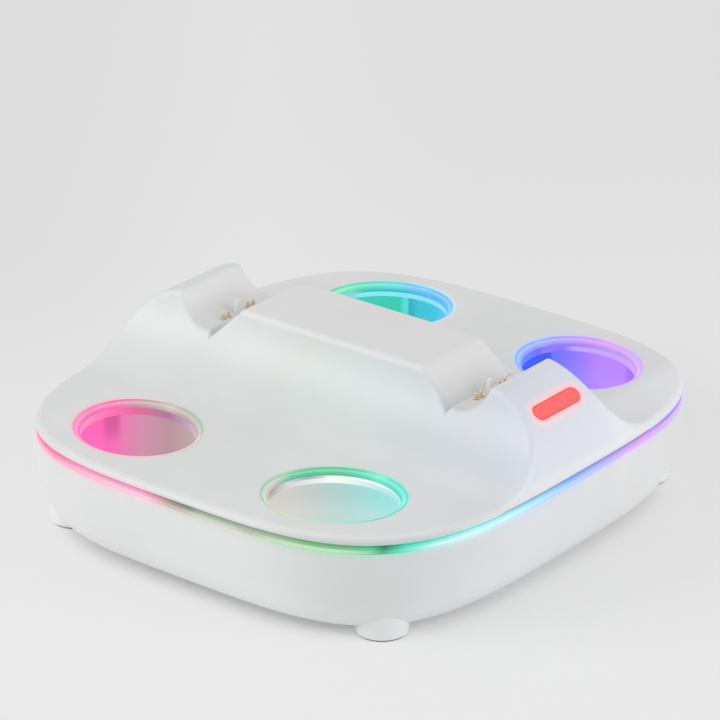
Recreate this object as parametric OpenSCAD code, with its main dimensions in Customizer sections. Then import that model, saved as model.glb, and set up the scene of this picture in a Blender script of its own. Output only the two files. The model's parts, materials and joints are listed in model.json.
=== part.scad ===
// Charging dock for two game controllers, with lit grip wells and spring contacts.
// X runs along the ridge, Y runs from front to back, Z is up.
// The origin is at the middle of the footprint, on the surface that the dock stands on.

/* [Outline] */
// Length of the body along the ridge
body_len = 153.8; // [146:0.2:165]
// Depth of the body from front to back
body_dep = 164.8; // [158:0.2:178]
// How square the rounded outline is
outline_power = 3.6; // [3:0.1:4.5]

/* [Heights] */
// Height of the deck above the surface
deck_z = 32.6; // [31:0.2:38]
// Height of the ridge and the shoulders above the deck
ridge_h = 22; // [20:0.5:25]
// Gap under the base, which the feet bridge
foot_gap = 3.8; // [3:0.1:6]
// Thickness of the deck
deck_t = 2; // [1.8:0.1:2.6]
// Radius of the rounded lip round the deck
lip_r = 1.9; // [1:0.1:2]
// Height of the light strip
strip_h = 2.7; // [2:0.1:3.5]

/* [Ridge] */
// Half of the ridge's flat top, from front to back
ridge_half = 13.3; // [11:0.1:15]
// Radius of the concave scoops in front of the ridge and behind it
scoop_r = 23.7; // [22.5:0.1:26]
// Radius of the convex shoulders at the two ends of the ridge
shoulder_r = 24.5; // [24:0.1:27]
// Wall of the top shell
wall = 2.2; // [1.6:0.1:2.6]

/* [Notches] */
// Distance from the end of the body to the row of contacts
contact_in = 31.1; // [30:0.1:32.5]
// Distance from the foot of the inner wall to the row of contacts
notch_flat = 4.6; // [4.2:0.1:5]
// Height of the notch floor above the deck
notch_floor = 13.4; // [12.5:0.1:14.5]
// Radius where the floor rises into the shoulder
notch_r = 10; // [8.5:0.5:11]
// Slope of the notch wall on the ridge side
notch_in_angle = 45; // [42:1:50]
// Slope of the notch wall on the shoulder side
notch_out_angle = 55; // [50:1:60]
// Depth of the groove along the foot of the inner wall
groove_d = 1.3; // [0.8:0.1:1.5]
// Width of the groove's outer side
groove_w = 0.9; // [0.6:0.1:1.2]

/* [Wells] */
// Half of the deck's width between a left well and a right one
well_mid = 15.5; // [14:0.1:18]
// Distance from the end of the body to a well
well_end = 21.6; // [20.6:0.1:25]
// Distance from the front or back edge of the body to a well
well_edge = 8.5; // [8.4:0.1:11]
// Distance from the foot of a scoop to a well
well_gap = 1.2; // [0.8:0.1:4]
// Length of a well as a multiple of its width
well_ratio = 1.151; // [1.1:0.001:1.2]
// Turn of the long axis away from the ridge
well_turn = 19.5; // [10:0.5:25]
// Width of the sloped band inside a rim
rim_band = 2; // [1.6:0.1:3]
// Depth of the sloped band
rim_slope = 1.8; // [1:0.1:2.4]
// Depth of the upright band below the sloped one
rim_wall = 2.4; // [2:0.1:3.2]
// Step outwards from the rim to the cup wall
cup_step = 0.3; // [0.2:0.1:0.8]
// Wall of a cup
cup_wall = 1.5; // [1.2:0.1:1.8]
// Depth of a cup's floor below the deck
cup_depth = 22.5; // [20:0.5:23]

/* [Base] */
// Wall of the base shell
base_wall = 2.4; // [1.8:0.1:2.8]
// Radius that the base wall turns in by, towards its lower edge
base_round = 21; // [18:0.5:26]
// How far the lower edge lies inside the outline
base_inset = 5.9; // [5:0.1:7]
// Distance from the end of the body to the middle of a foot
foot_end = 21.3; // [20:0.1:23]
// Distance from the front or back edge of the body to the middle of a foot
foot_edge = 21.5; // [20:0.1:23]
// Radius of a foot
foot_r = 7.4; // [6.5:0.1:7.6]
// Thickness of a foot's rubber pad
pad_t = 1; // [0.8:0.1:1.6]
// Depth of the recess that holds a pad
pad_seat = 0.6; // [0.3:0.1:0.7]

/* [Contacts] */
// Distance from the middle of a notch to the inner contact
contact_y = 4.35; // [4:0.05:4.5]
// Distance between the two contacts of a pair
contact_pitch = 2.3; // [2.1:0.05:2.5]
// Radius of a plunger's tip
pin_r = 0.48; // [0.4:0.01:0.5]
// Radial running clearance of a plunger in its barrel
pin_fit = 0.05; // [0.02:0.01:0.08]
// Radius of a barrel
barrel_r = 0.75; // [0.72:0.01:0.85]
// Height of a plunger's tip above the notch floor
pin_h = 2.1; // [1.8:0.1:2.6]
// Travel of a plunger
pin_travel = 1.2; // [0.8:0.1:1.4]
// Height of a guide peg above the notch floor
peg_h = 4.2; // [3.5:0.1:5]
// Radius of a guide peg at its foot
peg_r = 1.5; // [1.2:0.1:1.7]
// Radius of a guide peg at its top
peg_top_r = 0.95; // [0.8:0.05:1.1]

/* [Indicator] */
// Distance from the end of a lens's flange to the wall of the ridge
lens_margin = 1.2; // [0.8:0.1:3]
// Width of an indicator lens
lens_w = 4.6; // [4.2:0.1:6.2]
// Angle of a lens on its shoulder, up from level
lens_angle = 50; // [45:1:54]
// Thickness of a lens's flange, inside the shell
lens_t = 1; // [0.8:0.1:1.4]

/* [Boards and screws] */
// Thickness of the circuit boards
board_t = 1.6; // [1:0.1:1.8]
// Height of the main board's underside above the base floor
board_lift = 5; // [4:0.5:6]
// Half width of the main board under the ridge
board_x = 44; // [40:1:46]
// Half depth of the main board under the ridge
board_y = 24; // [18:1:25]
// Half width of the board's neck to the power socket
neck_x = 11; // [9:0.5:12]
// Distance from the end of the body to a case screw
screw_end_in = 14.9; // [13:0.1:17]
// Distance from the middle to a case screw, from front to back
screw_y = 33; // [31:0.5:34]
// Radius of a screw's shank
screw_r = 1.4; // [1.2:0.1:1.6]
// Width of the power socket
usb_w = 8.9; // [8.6:0.1:9.2]
// Height of the power socket
usb_h = 3.2; // [3:0.1:3.4]

/* [Hidden] */
over = 1;
gap = 0.1;
steps = 80;
well_steps = 48;
round_steps = 96;
arc_steps = 8;
ridge_steps = 10;
lip_steps = 4;
wall_steps = 6;
half_len = body_len / 2;
half_dep = body_dep / 2;
contact_x = half_len - contact_in;
foot_x = half_len - foot_end;
foot_y = half_dep - foot_edge;
screw_x = half_len - screw_end_in;
base_z = foot_gap;
strip_top = deck_z - deck_t;
strip_bottom = strip_top - strip_h;
ridge_top = deck_z + ridge_h;
shoulder_out = 0.4;
arc_shift = 0.3;
notch_in = contact_x - notch_flat - (ridge_h - notch_floor) / tan(notch_in_angle);
ridge_in = 0.1;
seam = 0.2;
floor_z = deck_z + notch_floor;
scoop_y = ridge_half + sqrt(pow(scoop_r, 2) - pow(max(scoop_r - ridge_h, 0), 2));
shoulder_x = half_len + shoulder_out - shoulder_r;
shoulder_z = ridge_top - shoulder_r;
notch_arc_x = contact_x - arc_shift;
base_arc_h = sqrt(pow(base_round, 2) - pow(base_round - base_inset, 2));
base_floor = base_z + base_wall;
strip_in = 2.2;
led_t = 0.7;
led_w = 2.2;
led_h = 1.6;
flex_in = strip_in + gap + led_t;
flex_t = 0.4;
flex_drop = 0.3;
led_sink = 0.05;
rib_in = flex_in + flex_t;
rib_t = 1.6;
rib_drop = 3.2;
room_x = (half_len - well_end - well_mid) / 2;
room_y = (half_dep - well_edge - scoop_y - well_gap) / 2;
well_x = well_mid + room_x;
well_y = scoop_y + well_gap + room_y;
well_b = min(
    room_x / norm([well_ratio * cos(well_turn), sin(well_turn)]),
    room_y / norm([well_ratio * sin(well_turn), cos(well_turn)])
);
well_a = well_ratio * well_b;
flange_t = 1.2;
flange_w = 1.8;
rim_a = well_a - rim_band;
rim_b = well_b - rim_band;
cup_a = rim_a + cup_step;
cup_b = rim_b + cup_step;
rim_foot = deck_z - rim_slope - rim_wall;
cup_floor = deck_z - cup_depth;
rim_lip = 0.5;
rim_flare = (rim_band - rim_lip) * (rim_slope + over) / (rim_slope - gap);
ring_board_t = 1;
ring_led_w = 1.6;
ring_led_l = 1.2;
ring_led_x = 1;
block_top = floor_z - wall;
block_h = 6;
block_len = 20;
block_w = 8;
block_bottom = block_top - block_h;
barrel_out = 0.35;
barrel_top = floor_z + barrel_out;
barrel_bottom = block_bottom - board_t;
barrel_neck = 0.4;
neck_r = pin_r + pin_fit;
tail_step = 0.05;
neck_play = 0.02;
tail_r = neck_r + tail_step;
bore_r = tail_r + pin_fit;
tail_len = 3;
spring_room = 4;
barrel_floor = barrel_top - barrel_neck - barrel_bottom - tail_len - pin_travel - spring_room;
tip_dome = 0.35;
press_gap = 0.03;
peg_tip_h = 0.5;
peg_tip_r = 0.55;
contact_board_w = 9;
contact_board_len = 22;
lens_gap = 0.12;
lens_flange = 1.5;
lens_h = shoulder_z + (shoulder_r - wall) * sin(lens_angle) - deck_z;
lens_room = scoop_y - sqrt(pow(scoop_r + wall, 2) - pow(max(scoop_r - lens_h, 0), 2));
lens_len = 2 * (lens_room - lens_flange - lens_margin);
post_w = 3;
post_t = 2;
post_len = 1.5;
lens_led_pitch = lens_len / 4;
lens_led_w = 1.6;
lens_board_t = 1;
lens_board_w = 6;
board_z = base_floor + board_lift;
board_top = board_z + board_t;
neck_y = half_dep - base_wall - 1.2;
usb_len = 7.4;
usb_z = board_top + usb_h / 2;
usb_y = half_dep - 1;
usb_wall = 0.3;
usb_tongue_in = 2.2;
usb_tongue_t = 0.7;
boss_r = 3.2;
boss_z = base_z + 14;
boss_cover = 0.6;
boss_grip = 0.4;
board_boss_r = 2.6;
screw_gap = 0.2;
cross_len = 2.8;
cross_w = 0.7;
cross_d = 1;
screw_head_r = 2.6;
screw_head_t = 1.8;
screw_seat = 1.6;
screw_len = 22;
screw_end = base_z + screw_seat + screw_head_t + screw_len;
board_screw_r = 1;
board_screw_head = 0.9;
board_head_t = 1.2;
board_screw_len = 3.5;
board_screw_x = board_x - 6;
board_screw_y = board_y - 5;
foot_top = base_floor + 1.5;
pad_in = 0.6;
chip = [8, 8, 1];
small_chip = [5, 5, 1];
coil = [7, 7, 3.2];
plug = [6, 8, 5];
can_r = 3;
can_h = 7;
strip_led_count = 28;
well_led_count = 8;

white = "#ececee";
glow = "#f4c8e4";
frost = "#e9dcf2";
gold = "#d8a648";
red = "#ff6f70";
rubber = "#3a3a3c";
board_green = "#2f6b4f";
steel = "#b9bcc1";
black = "#2b2c30";

// Outline of the body, moved inwards by an inset
function sgn_pow(v, p) = sign(v) * pow(abs(v), p);
function rim_point(t) = [
    half_len * sgn_pow(cos(t), 2 / outline_power),
    half_dep * sgn_pow(sin(t), 2 / outline_power)
];
function rim_normal(p) = let (
    g = [
        sgn_pow(p[0] / half_len, outline_power - 1) / half_len,
        sgn_pow(p[1] / half_dep, outline_power - 1) / half_dep
    ]
) g / norm(g);
function outline(inset = 0) = [
    for (i = [0 : steps - 1]) let (p = rim_point(360 * i / steps)) p - inset * rim_normal(p)
];
function edge_x(y) = half_len * pow(1 - pow(abs(y) / half_dep, outline_power), 1 / outline_power);

// Oval with half axes a and b
function oval(a, b) = [
    for (i = [0 : well_steps - 1]) let (t = 360 * i / well_steps) [a * cos(t), b * sin(t)]
];

// Height of the scoop above the deck, at a distance from the middle
function scoop_h(y) = abs(y) > scoop_y ? 0 :
    abs(y) < scoop_y - scoop_r ? ridge_h : scoop_r - sqrt(pow(scoop_r, 2) - pow(scoop_y - abs(y), 2));

// How far the lower part of the base wall lies inside the outline
function base_in(z) = z > base_z + base_arc_h ? 0 :
    base_round - sqrt(pow(base_round, 2) - pow(base_z + base_arc_h - z, 2));

// Solid through rings of the same outline, each given as a height and an inset
module outline_loft(rings) {
    points = [for (r = rings) for (p = outline(r[1])) [p[0], p[1], r[0]]];
    sides = [
        for (k = [0 : len(rings) - 2]) for (i = [0 : steps - 1]) let (j = (i + 1) % steps)
            [k * steps + i, (k + 1) * steps + i, (k + 1) * steps + j, k * steps + j]
    ];
    bottom = [for (i = [0 : steps - 1]) i];
    top = [for (i = [steps - 1 : -1 : 0]) (len(rings) - 1) * steps + i];
    polyhedron(points = points, faces = concat([bottom], sides, [top]), convexity = 4);
}

// Upright band of the outline between two insets
module outline_band(z0, z1, outer, inner) {
    translate([0, 0, z0]) linear_extrude(z1 - z0) difference() {
        polygon(outline(outer));
        polygon(outline(inner));
    }
}

// Region above the front or back scoop, in the YZ plane
module scoop_air(growth = 0) {
    r = scoop_r + growth;
    translate([scoop_y, deck_z + scoop_r]) circle(r, $fn = round_steps);
    translate([scoop_y, deck_z - growth]) square([half_dep, ridge_h * 2]);
    translate([scoop_y - r, deck_z + scoop_r]) square([r + over, ridge_h]);
}

// Scoops in front of the ridge and behind it
module scoops(growth = 0) {
    for (side = [-1, 1])
        flip_y(side) rotate([90, 0, 90]) linear_extrude(body_len * 1.2, center = true) scoop_air(growth);
}

// Mirror a shape onto the side that is asked for
module flip_y(side) {
    mirror([0, side < 0 ? 1 : 0, 0]) children();
}
module flip_x(side) {
    mirror([side < 0 ? 1 : 0, 0, 0]) children();
}

// Section along the ridge, with its two rounded shoulders
module shoulder_section(shrink = 0) {
    r = shoulder_r - shrink;
    for (side = [-1, 1]) translate([side * shoulder_x, shoulder_z]) circle(r, $fn = round_steps);
    translate([-shoulder_x, strip_bottom]) square([2 * shoulder_x, ridge_top - shrink - strip_bottom]);
    translate([-shoulder_x - r, strip_bottom]) square([2 * (shoulder_x + r), shoulder_z - strip_bottom]);
}

// Section of a notch, grown outwards for the cavity below it
module notch_section(growth = 0) {
    top = ridge_top + 5 * over;
    in_shift = growth / sin(notch_in_angle);
    in_x = function (z) notch_in + (ridge_top - z) / tan(notch_in_angle) - in_shift;
    bottom = floor_z - growth;
    groove = [
        [in_x(floor_z - groove_d), floor_z - groove_d],
        [in_x(floor_z - groove_d) + groove_w, floor_z]
    ];
    arc = [
        for (k = [0 : arc_steps]) let (a = notch_out_angle * k / arc_steps)
            [notch_arc_x + (notch_r + growth) * sin(a), floor_z + notch_r - (notch_r + growth) * cos(a)]
    ];
    last = arc[arc_steps];
    polygon(concat(
        [[in_x(top), top]],
        growth > 0 ? [[in_x(bottom), bottom]] : groove,
        arc,
        [[last[0] + (top - last[1]) / tan(notch_out_angle), top]]
    ));
}

module notches(growth = 0) {
    for (side = [-1, 1])
        flip_x(side) rotate([90, 0, 0]) linear_extrude(scoop_y * 2, center = true) notch_section(growth);
}

// Plan of the ridge and shoulders, narrowed where the lip rounds over
function lip_in(y) = let (h = min(scoop_h(y), lip_r)) lip_r - sqrt(pow(lip_r, 2) - pow(lip_r - h, 2));
module ridge_plan(inset = 0) {
    n = 2 * ridge_steps;
    ys = [for (k = [0 : n]) (scoop_y + 3 * over) * (k / ridge_steps - 1)];
    xs = [for (y = ys) edge_x(y) - ridge_in - lip_in(y) - inset];
    polygon(concat(
        [for (k = [0 : n]) [xs[k], ys[k]]],
        [for (k = [n : -1 : 0]) [-xs[k], ys[k]]]
    ));
}

// Places a shape at each well, with its long axis turned outwards
module at_well(side_x, side_y) {
    translate([side_x * well_x, side_y * well_y, 0]) rotate(-side_x * side_y * well_turn) children();
}

module oval_prism(z0, z1, a, b) {
    translate([0, 0, z0]) linear_extrude(z1 - z0) polygon(oval(a, b));
}

// Solid between an oval at one height and a wider one above it
module oval_cone(z0, z1, a0, b0, a1, b1) {
    points = concat(
        [for (p = oval(a0, b0)) [p[0], p[1], z0]],
        [for (p = oval(a1, b1)) [p[0], p[1], z1]]
    );
    sides = [
        for (i = [0 : well_steps - 1]) let (j = (i + 1) % well_steps) [i, well_steps + i, well_steps + j, j]
    ];
    bottom = [for (i = [0 : well_steps - 1]) i];
    top = [for (i = [well_steps - 1 : -1 : 0]) well_steps + i];
    polyhedron(points = points, faces = concat([bottom], sides, [top]), convexity = 2);
}

// Slot shape with round ends
module pill(length, width) {
    r = width / 2;
    polygon(concat(
        [for (a = [-90 : 18 : 90]) [length / 2 - r + r * cos(a), r * sin(a)]],
        [for (a = [90 : 18 : 270]) [r - length / 2 + r * cos(a), r * sin(a)]]
    ));
}

// Places a shape on the shoulder's round, with X pointing out of its surface
module at_lens(side) {
    flip_x(side) translate([shoulder_x, 0, shoulder_z]) rotate([0, -lens_angle, 0]) children();
}

// Upright slot shape through the shoulder, and a drum that trims it to the shoulder's round
module lens_prism(length, width) {
    rotate([90, 0, 90]) linear_extrude(shoulder_r + over) pill(length, width);
}
module lens_drum(r) {
    rotate([90, 0, 0]) cylinder(h = lens_len * 2, r = r, center = true, $fn = round_steps);
}

// Places a shape at each contact of one side
module at_contacts(side) {
    for (k = [1 : 4]) at_contact(side, k) children();
}
module at_contact(side, k) {
    y = (k <= 2 ? -1 : 1) * (contact_y + (k == 1 || k == 4 ? contact_pitch : 0));
    translate([side * contact_x, y, 0]) children();
}

// Places a shape at each of the four screws of a kind, or at each foot
module at_case_screws() {
    for (x = [-screw_x, screw_x], y = [-screw_y, screw_y]) translate([x, y, 0]) children();
}
module at_board_screws() {
    for (x = [-board_screw_x, board_screw_x], y = [-board_screw_y, board_screw_y])
        translate([x, y, 0]) children();
}
module at_feet() {
    for (x = [-foot_x, foot_x], y = [-foot_y, foot_y]) translate([x, y, 0]) children();
}

// Places a shape on the outline at an even turn, with X pointing outwards
module on_outline(turn, inset) {
    r = pow(
        pow(abs(cos(turn)) / half_len, outline_power) + pow(abs(sin(turn)) / half_dep, outline_power),
        -1 / outline_power
    );
    p = [r * cos(turn), r * sin(turn)];
    n = rim_normal(p);
    translate(concat(p - inset * n, [0])) rotate(atan2(n[1], n[0])) children();
}

// Blank of the top shell, before its openings are cut
module top_blank() {
    lip = [
        for (k = [0 : lip_steps]) let (a = 90 * k / lip_steps)
            [deck_z - lip_r * (1 - sin(a)), lip_r * (1 - cos(a))]
    ];
    difference() {
        union() {
            outline_loft(concat([[strip_top, 0]], lip, [[deck_z + over / 2, lip_r + over / 2]]));
            intersection() {
                translate([0, 0, strip_top + seam]) linear_extrude(ridge_h * 2) ridge_plan();
                rotate([90, 0, 0]) linear_extrude(scoop_y * 3, center = true) shoulder_section();
            }
        }
        scoops();
        notches();
    }
}

// Hollow below the ridge and the shoulders
module ridge_hollow() {
    difference() {
        intersection() {
            translate([0, 0, strip_top - over]) linear_extrude(ridge_h * 2) ridge_plan(rib_in + rib_t);
            rotate([90, 0, 0]) linear_extrude(scoop_y * 3, center = true) shoulder_section(wall);
        }
        scoops(wall);
        notches(wall);
    }
}

module top_shell() {
    color(white) difference() {
        union() {
            difference() {
                top_blank();
                ridge_hollow();
            }
            outline_band(strip_top - rib_drop, strip_top + seam, rib_in, rib_in + rib_t);
            at_case_screws() translate([0, 0, boss_z])
                cylinder(h = deck_z - boss_cover - boss_z, r = boss_r, $fn = 32);
        }
        for (side_x = [-1, 1], side_y = [-1, 1])
            at_well(side_x, side_y) oval_prism(strip_top - over, deck_z + over, well_a, well_b);
        for (side = [-1, 1]) {
            at_contacts(side) translate([0, 0, block_top - over])
                cylinder(h = wall + 2 * over, r = barrel_r + gap, $fn = 24);
            translate([side * contact_x, 0, block_top - over])
                cylinder(h = wall + 2 * over, r = peg_r + gap, $fn = 32);
            at_lens(side) lens_prism(lens_len + 2 * lens_gap, lens_w + 2 * lens_gap);
        }
        at_case_screws() translate([0, 0, boss_z - over])
            cylinder(h = screw_end - boss_z + 2 * over, r = screw_r + press_gap, $fn = 24);
    }
}

// Rings of the base wall, moved inwards by a wall
function base_rings(bottom, shift) = concat(
    [
        for (k = [0 : wall_steps]) let (z = bottom + (base_z + base_arc_h - bottom) * k / wall_steps)
            [z, base_in(z) + shift]
    ],
    [[shift > 0 ? strip_bottom + over : strip_bottom, shift]]
);

module base_shell() {
    color(white) difference() {
        union() {
            difference() {
                outline_loft(base_rings(base_z, 0));
                outline_loft(base_rings(base_floor, base_wall));
            }
            at_feet() translate([0, 0, pad_t - pad_seat])
                cylinder(h = foot_top - pad_t + pad_seat, r = foot_r, $fn = 64);
            at_case_screws() translate([0, 0, base_z + boss_grip])
                cylinder(h = boss_z - base_z - boss_grip, r = boss_r + over, $fn = 32);
            at_board_screws() translate([0, 0, base_z + boss_grip])
                cylinder(h = board_z - base_z - boss_grip, r = board_boss_r, $fn = 32);
        }
        at_feet() translate([0, 0, pad_t - pad_seat - over])
            cylinder(h = pad_seat + over, r = foot_r - pad_in + gap, $fn = 64);
        at_case_screws() {
            translate([0, 0, base_z - over])
                cylinder(h = over + screw_seat + screw_head_t, r = screw_head_r + screw_gap, $fn = 32);
            translate([0, 0, base_z]) cylinder(h = boss_z, r = screw_r + screw_gap, $fn = 24);
        }
        at_board_screws() translate([0, 0, base_floor + over])
            cylinder(h = board_lift, r = board_screw_r + press_gap, $fn = 24);
        translate([0, half_dep + over, usb_z]) rotate([90, 0, 0])
            linear_extrude(base_wall + 3 * over) pill(usb_w + 2 * gap, usb_h + 2 * gap);
    }
}

module light_strip() {
    color(glow) outline_band(strip_bottom, strip_top, 0, strip_in);
}

module strip_flex() {
    color(white) outline_band(strip_bottom - flex_drop, strip_top - seam, flex_in, rib_in);
}

module strip_leds() {
    color("white") for (k = [0 : strip_led_count - 1])
        on_outline(360 * (k + 0.5) / strip_led_count, flex_in - led_sink)
            translate([0, -led_w / 2, strip_bottom + flex_t]) cube([led_t - gap, led_w, led_h]);
}

module well_rim(side_x, side_y) {
    color(glow) at_well(side_x, side_y) difference() {
        union() {
            oval_prism(rim_foot, deck_z - gap, well_a - gap, well_b - gap);
            oval_prism(strip_top - flange_t, strip_top, well_a + flange_w, well_b + flange_w);
        }
        oval_prism(rim_foot - over, deck_z, rim_a, rim_b);
        oval_cone(deck_z - rim_slope, deck_z + over, rim_a, rim_b, rim_a + rim_flare, rim_b + rim_flare);
    }
}

module well_cup(side_x, side_y) {
    color(frost) at_well(side_x, side_y) difference() {
        oval_prism(cup_floor - cup_wall, rim_foot, cup_a + cup_wall, cup_b + cup_wall);
        oval_prism(cup_floor, rim_foot + over, cup_a, cup_b);
    }
}

module led_ring(side_x, side_y) {
    z = strip_top - flange_t - ring_board_t;
    color(board_green) at_well(side_x, side_y) {
        difference() {
            oval_prism(z, z + ring_board_t, well_a + flange_w, well_b + flange_w);
            oval_prism(z - over, z + ring_board_t + over, well_a + gap, well_b + gap);
        }
        for (k = [0 : well_led_count - 1]) let (a = 360 * (k + 0.5) / well_led_count)
            translate([(well_a + ring_led_x) * cos(a), (well_b + ring_led_x) * sin(a), z - led_t]) rotate(a)
                translate([-ring_led_l / 2, -ring_led_w / 2, 0])
                    cube([ring_led_l, ring_led_w, led_t + ring_board_t / 2]);
    }
}

module contact_block(side) {
    color(white) difference() {
        union() {
            translate([side * contact_x - block_w / 2, -block_len / 2, block_bottom])
                cube([block_w, block_len, block_h]);
            translate([side * contact_x, 0, block_top - over]) rotate_extrude($fn = 32) polygon([
                [0, 0], [peg_r, 0], [peg_r, over + wall],
                [peg_top_r, over + wall + peg_h - peg_tip_h],
                [peg_tip_r, over + wall + peg_h], [0, over + wall + peg_h]
            ]);
        }
        at_contacts(side) translate([0, 0, block_bottom - over])
            cylinder(h = block_h + 2 * over, r = barrel_r + press_gap, $fn = 24);
    }
}

module contact_board(side) {
    color(board_green) difference() {
        translate([side * contact_x - contact_board_w / 2, -contact_board_len / 2, block_bottom - board_t])
            cube([contact_board_w, contact_board_len, board_t]);
        at_contacts(side) translate([0, 0, block_bottom - board_t - over])
            cylinder(h = board_t + 2 * over, r = barrel_r + press_gap, $fn = 24);
    }
}

module pin_barrels(side) {
    color(gold) at_contacts(side) difference() {
        translate([0, 0, barrel_bottom]) cylinder(h = barrel_top - barrel_bottom, r = barrel_r, $fn = 24);
        translate([0, 0, barrel_bottom + barrel_floor])
            cylinder(h = barrel_top - barrel_bottom - barrel_floor - barrel_neck, r = bore_r, $fn = 24);
        translate([0, 0, barrel_top - barrel_neck - seam])
            cylinder(h = barrel_neck + over, r = neck_r, $fn = 24);
    }
}

module pin(side, k) {
    neck = barrel_top - barrel_neck - neck_play;
    tip = floor_z + pin_h;
    dome = [
        for (a = [0 : 30 : 90]) [pin_r * cos(a), tip - tip_dome * (1 - sin(a))]
    ];
    color(gold) at_contact(side, k) rotate_extrude($fn = 24) polygon(concat(
        [[0, neck - tail_len], [tail_r, neck - tail_len], [tail_r, neck], [pin_r, neck]],
        dome
    ));
}

module indicator_lens(side) {
    inner_r = shoulder_r - wall - lens_t;
    color(red) at_lens(side) {
        difference() {
            union() {
                intersection() {
                    lens_prism(lens_len, lens_w);
                    lens_drum(shoulder_r);
                }
                intersection() {
                    lens_prism(lens_len + 2 * lens_flange, lens_w + 2 * lens_flange);
                    lens_drum(shoulder_r - wall);
                }
            }
            lens_drum(inner_r);
        }
        for (end = [-1, 1])
            translate([inner_r - post_len + seam, end * (lens_len - post_t) / 2 - post_t / 2, -post_w / 2])
                cube([post_len, post_t, post_w]);
    }
}

module indicator_board(side) {
    back = shoulder_r - wall - lens_t - post_len + seam - lens_board_t;
    color(board_green) at_lens(side) {
        translate([back, -lens_len / 2 - over, -lens_board_w / 2])
            cube([lens_board_t, lens_len + 2 * over, lens_board_w]);
        for (k = [-1 : 1]) translate([back + seam, k * lens_led_pitch - lens_led_w / 2, -lens_led_w / 2])
            cube([lens_board_t - seam + led_t, lens_led_w, lens_led_w]);
    }
}

module main_board() {
    color(board_green) difference() {
        translate([0, 0, board_z]) linear_extrude(board_t) polygon([
            [-board_x, -board_y], [board_x, -board_y],
            [board_x, board_y], [neck_x, board_y], [neck_x, neck_y],
            [-neck_x, neck_y], [-neck_x, board_y], [-board_x, board_y]
        ]);
        at_board_screws() translate([0, 0, board_z - over])
            cylinder(h = board_t + 2 * over, r = board_screw_r + screw_gap, $fn = 24);
    }
}

// Chips, coils and connectors that stand on the main board
module board_chips() {
    color(black) translate([0, 0, board_top]) {
        translate([-chip[0] / 2, -chip[1] / 2, 0]) cube(chip);
        for (side = [-1, 1]) {
            translate([side * board_x * 0.4 - small_chip[0] / 2, -small_chip[1] / 2, 0]) cube(small_chip);
            translate([side * board_x * 0.6 - coil[0] / 2, -board_y * 0.4, 0]) cube(coil);
            translate([side * board_x * 0.6, board_y / 3, 0]) cylinder(h = can_h, r = can_r, $fn = 32);
            translate([side * board_x * 0.82 - plug[0] / 2, -plug[1] / 2, 0]) cube(plug);
        }
        translate([-small_chip[0] / 2, board_y * 1.6, 0]) cube(small_chip);
    }
}

module power_socket() {
    color(steel) translate([0, usb_y, usb_z]) rotate([90, 0, 0]) difference() {
        linear_extrude(usb_len) pill(usb_w, usb_h);
        translate([0, 0, -over]) linear_extrude(usb_len) difference() {
            pill(usb_w - 2 * usb_wall, usb_h - 2 * usb_wall);
            square([usb_w - usb_tongue_in, usb_tongue_t], center = true);
        }
    }
}

module board_screws() {
    color(steel) at_board_screws() {
        translate([0, 0, board_top])
            cylinder(h = board_head_t, r = board_screw_r + board_screw_head, $fn = 32);
        translate([0, 0, board_z - board_screw_len])
            cylinder(h = board_t + board_screw_len, r = board_screw_r, $fn = 24);
    }
}

module case_screws() {
    head_z = base_z + screw_seat;
    color(steel) at_case_screws() {
        difference() {
            translate([0, 0, head_z]) cylinder(h = screw_head_t, r = screw_head_r, $fn = 32);
            for (turn = [0, 90]) rotate(turn) translate([-cross_len / 2, -cross_w / 2, head_z - over])
                cube([cross_len, cross_w, over + cross_d]);
        }
        translate([0, 0, head_z + screw_head_t]) cylinder(h = screw_len, r = screw_r, $fn = 24);
    }
}

module foot_pad(side_x, side_y) {
    color(rubber) translate([side_x * foot_x, side_y * foot_y, 0])
        cylinder(h = pad_t, r = foot_r - pad_in, $fn = 64);
}

top_shell();
base_shell();
light_strip();
strip_flex();
strip_leds();
well_rim(-1, -1);  // well_rim_front_left
well_rim(1, -1);  // well_rim_front_right
well_rim(-1, 1);  // well_rim_back_left
well_rim(1, 1);  // well_rim_back_right
well_cup(-1, -1);  // well_cup_front_left
well_cup(1, -1);  // well_cup_front_right
well_cup(-1, 1);  // well_cup_back_left
well_cup(1, 1);  // well_cup_back_right
led_ring(-1, -1);  // led_ring_front_left
led_ring(1, -1);  // led_ring_front_right
led_ring(-1, 1);  // led_ring_back_left
led_ring(1, 1);  // led_ring_back_right
contact_block(-1);  // contact_block_left
contact_block(1);  // contact_block_right
contact_board(-1);  // contact_board_left
contact_board(1);  // contact_board_right
pin_barrels(-1);  // pin_barrels_left
pin_barrels(1);  // pin_barrels_right
pin(-1, 1);  // pin_left_1
pin(-1, 2);  // pin_left_2
pin(-1, 3);  // pin_left_3
pin(-1, 4);  // pin_left_4
pin(1, 1);  // pin_right_1
pin(1, 2);  // pin_right_2
pin(1, 3);  // pin_right_3
pin(1, 4);  // pin_right_4
indicator_lens(-1);  // indicator_lens_left
indicator_lens(1);  // indicator_lens_right
indicator_board(-1);  // indicator_board_left
indicator_board(1);  // indicator_board_right
main_board();
board_chips();
power_socket();
board_screws();
case_screws();
foot_pad(-1, -1);  // foot_pad_front_left
foot_pad(1, -1);  // foot_pad_front_right
foot_pad(-1, 1);  // foot_pad_back_left
foot_pad(1, 1);  // foot_pad_back_right
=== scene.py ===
import json
import math

import bpy
import numpy as np
from mathutils import Matrix, Vector
from mathutils.geometry import delaunay_2d_cdt


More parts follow.
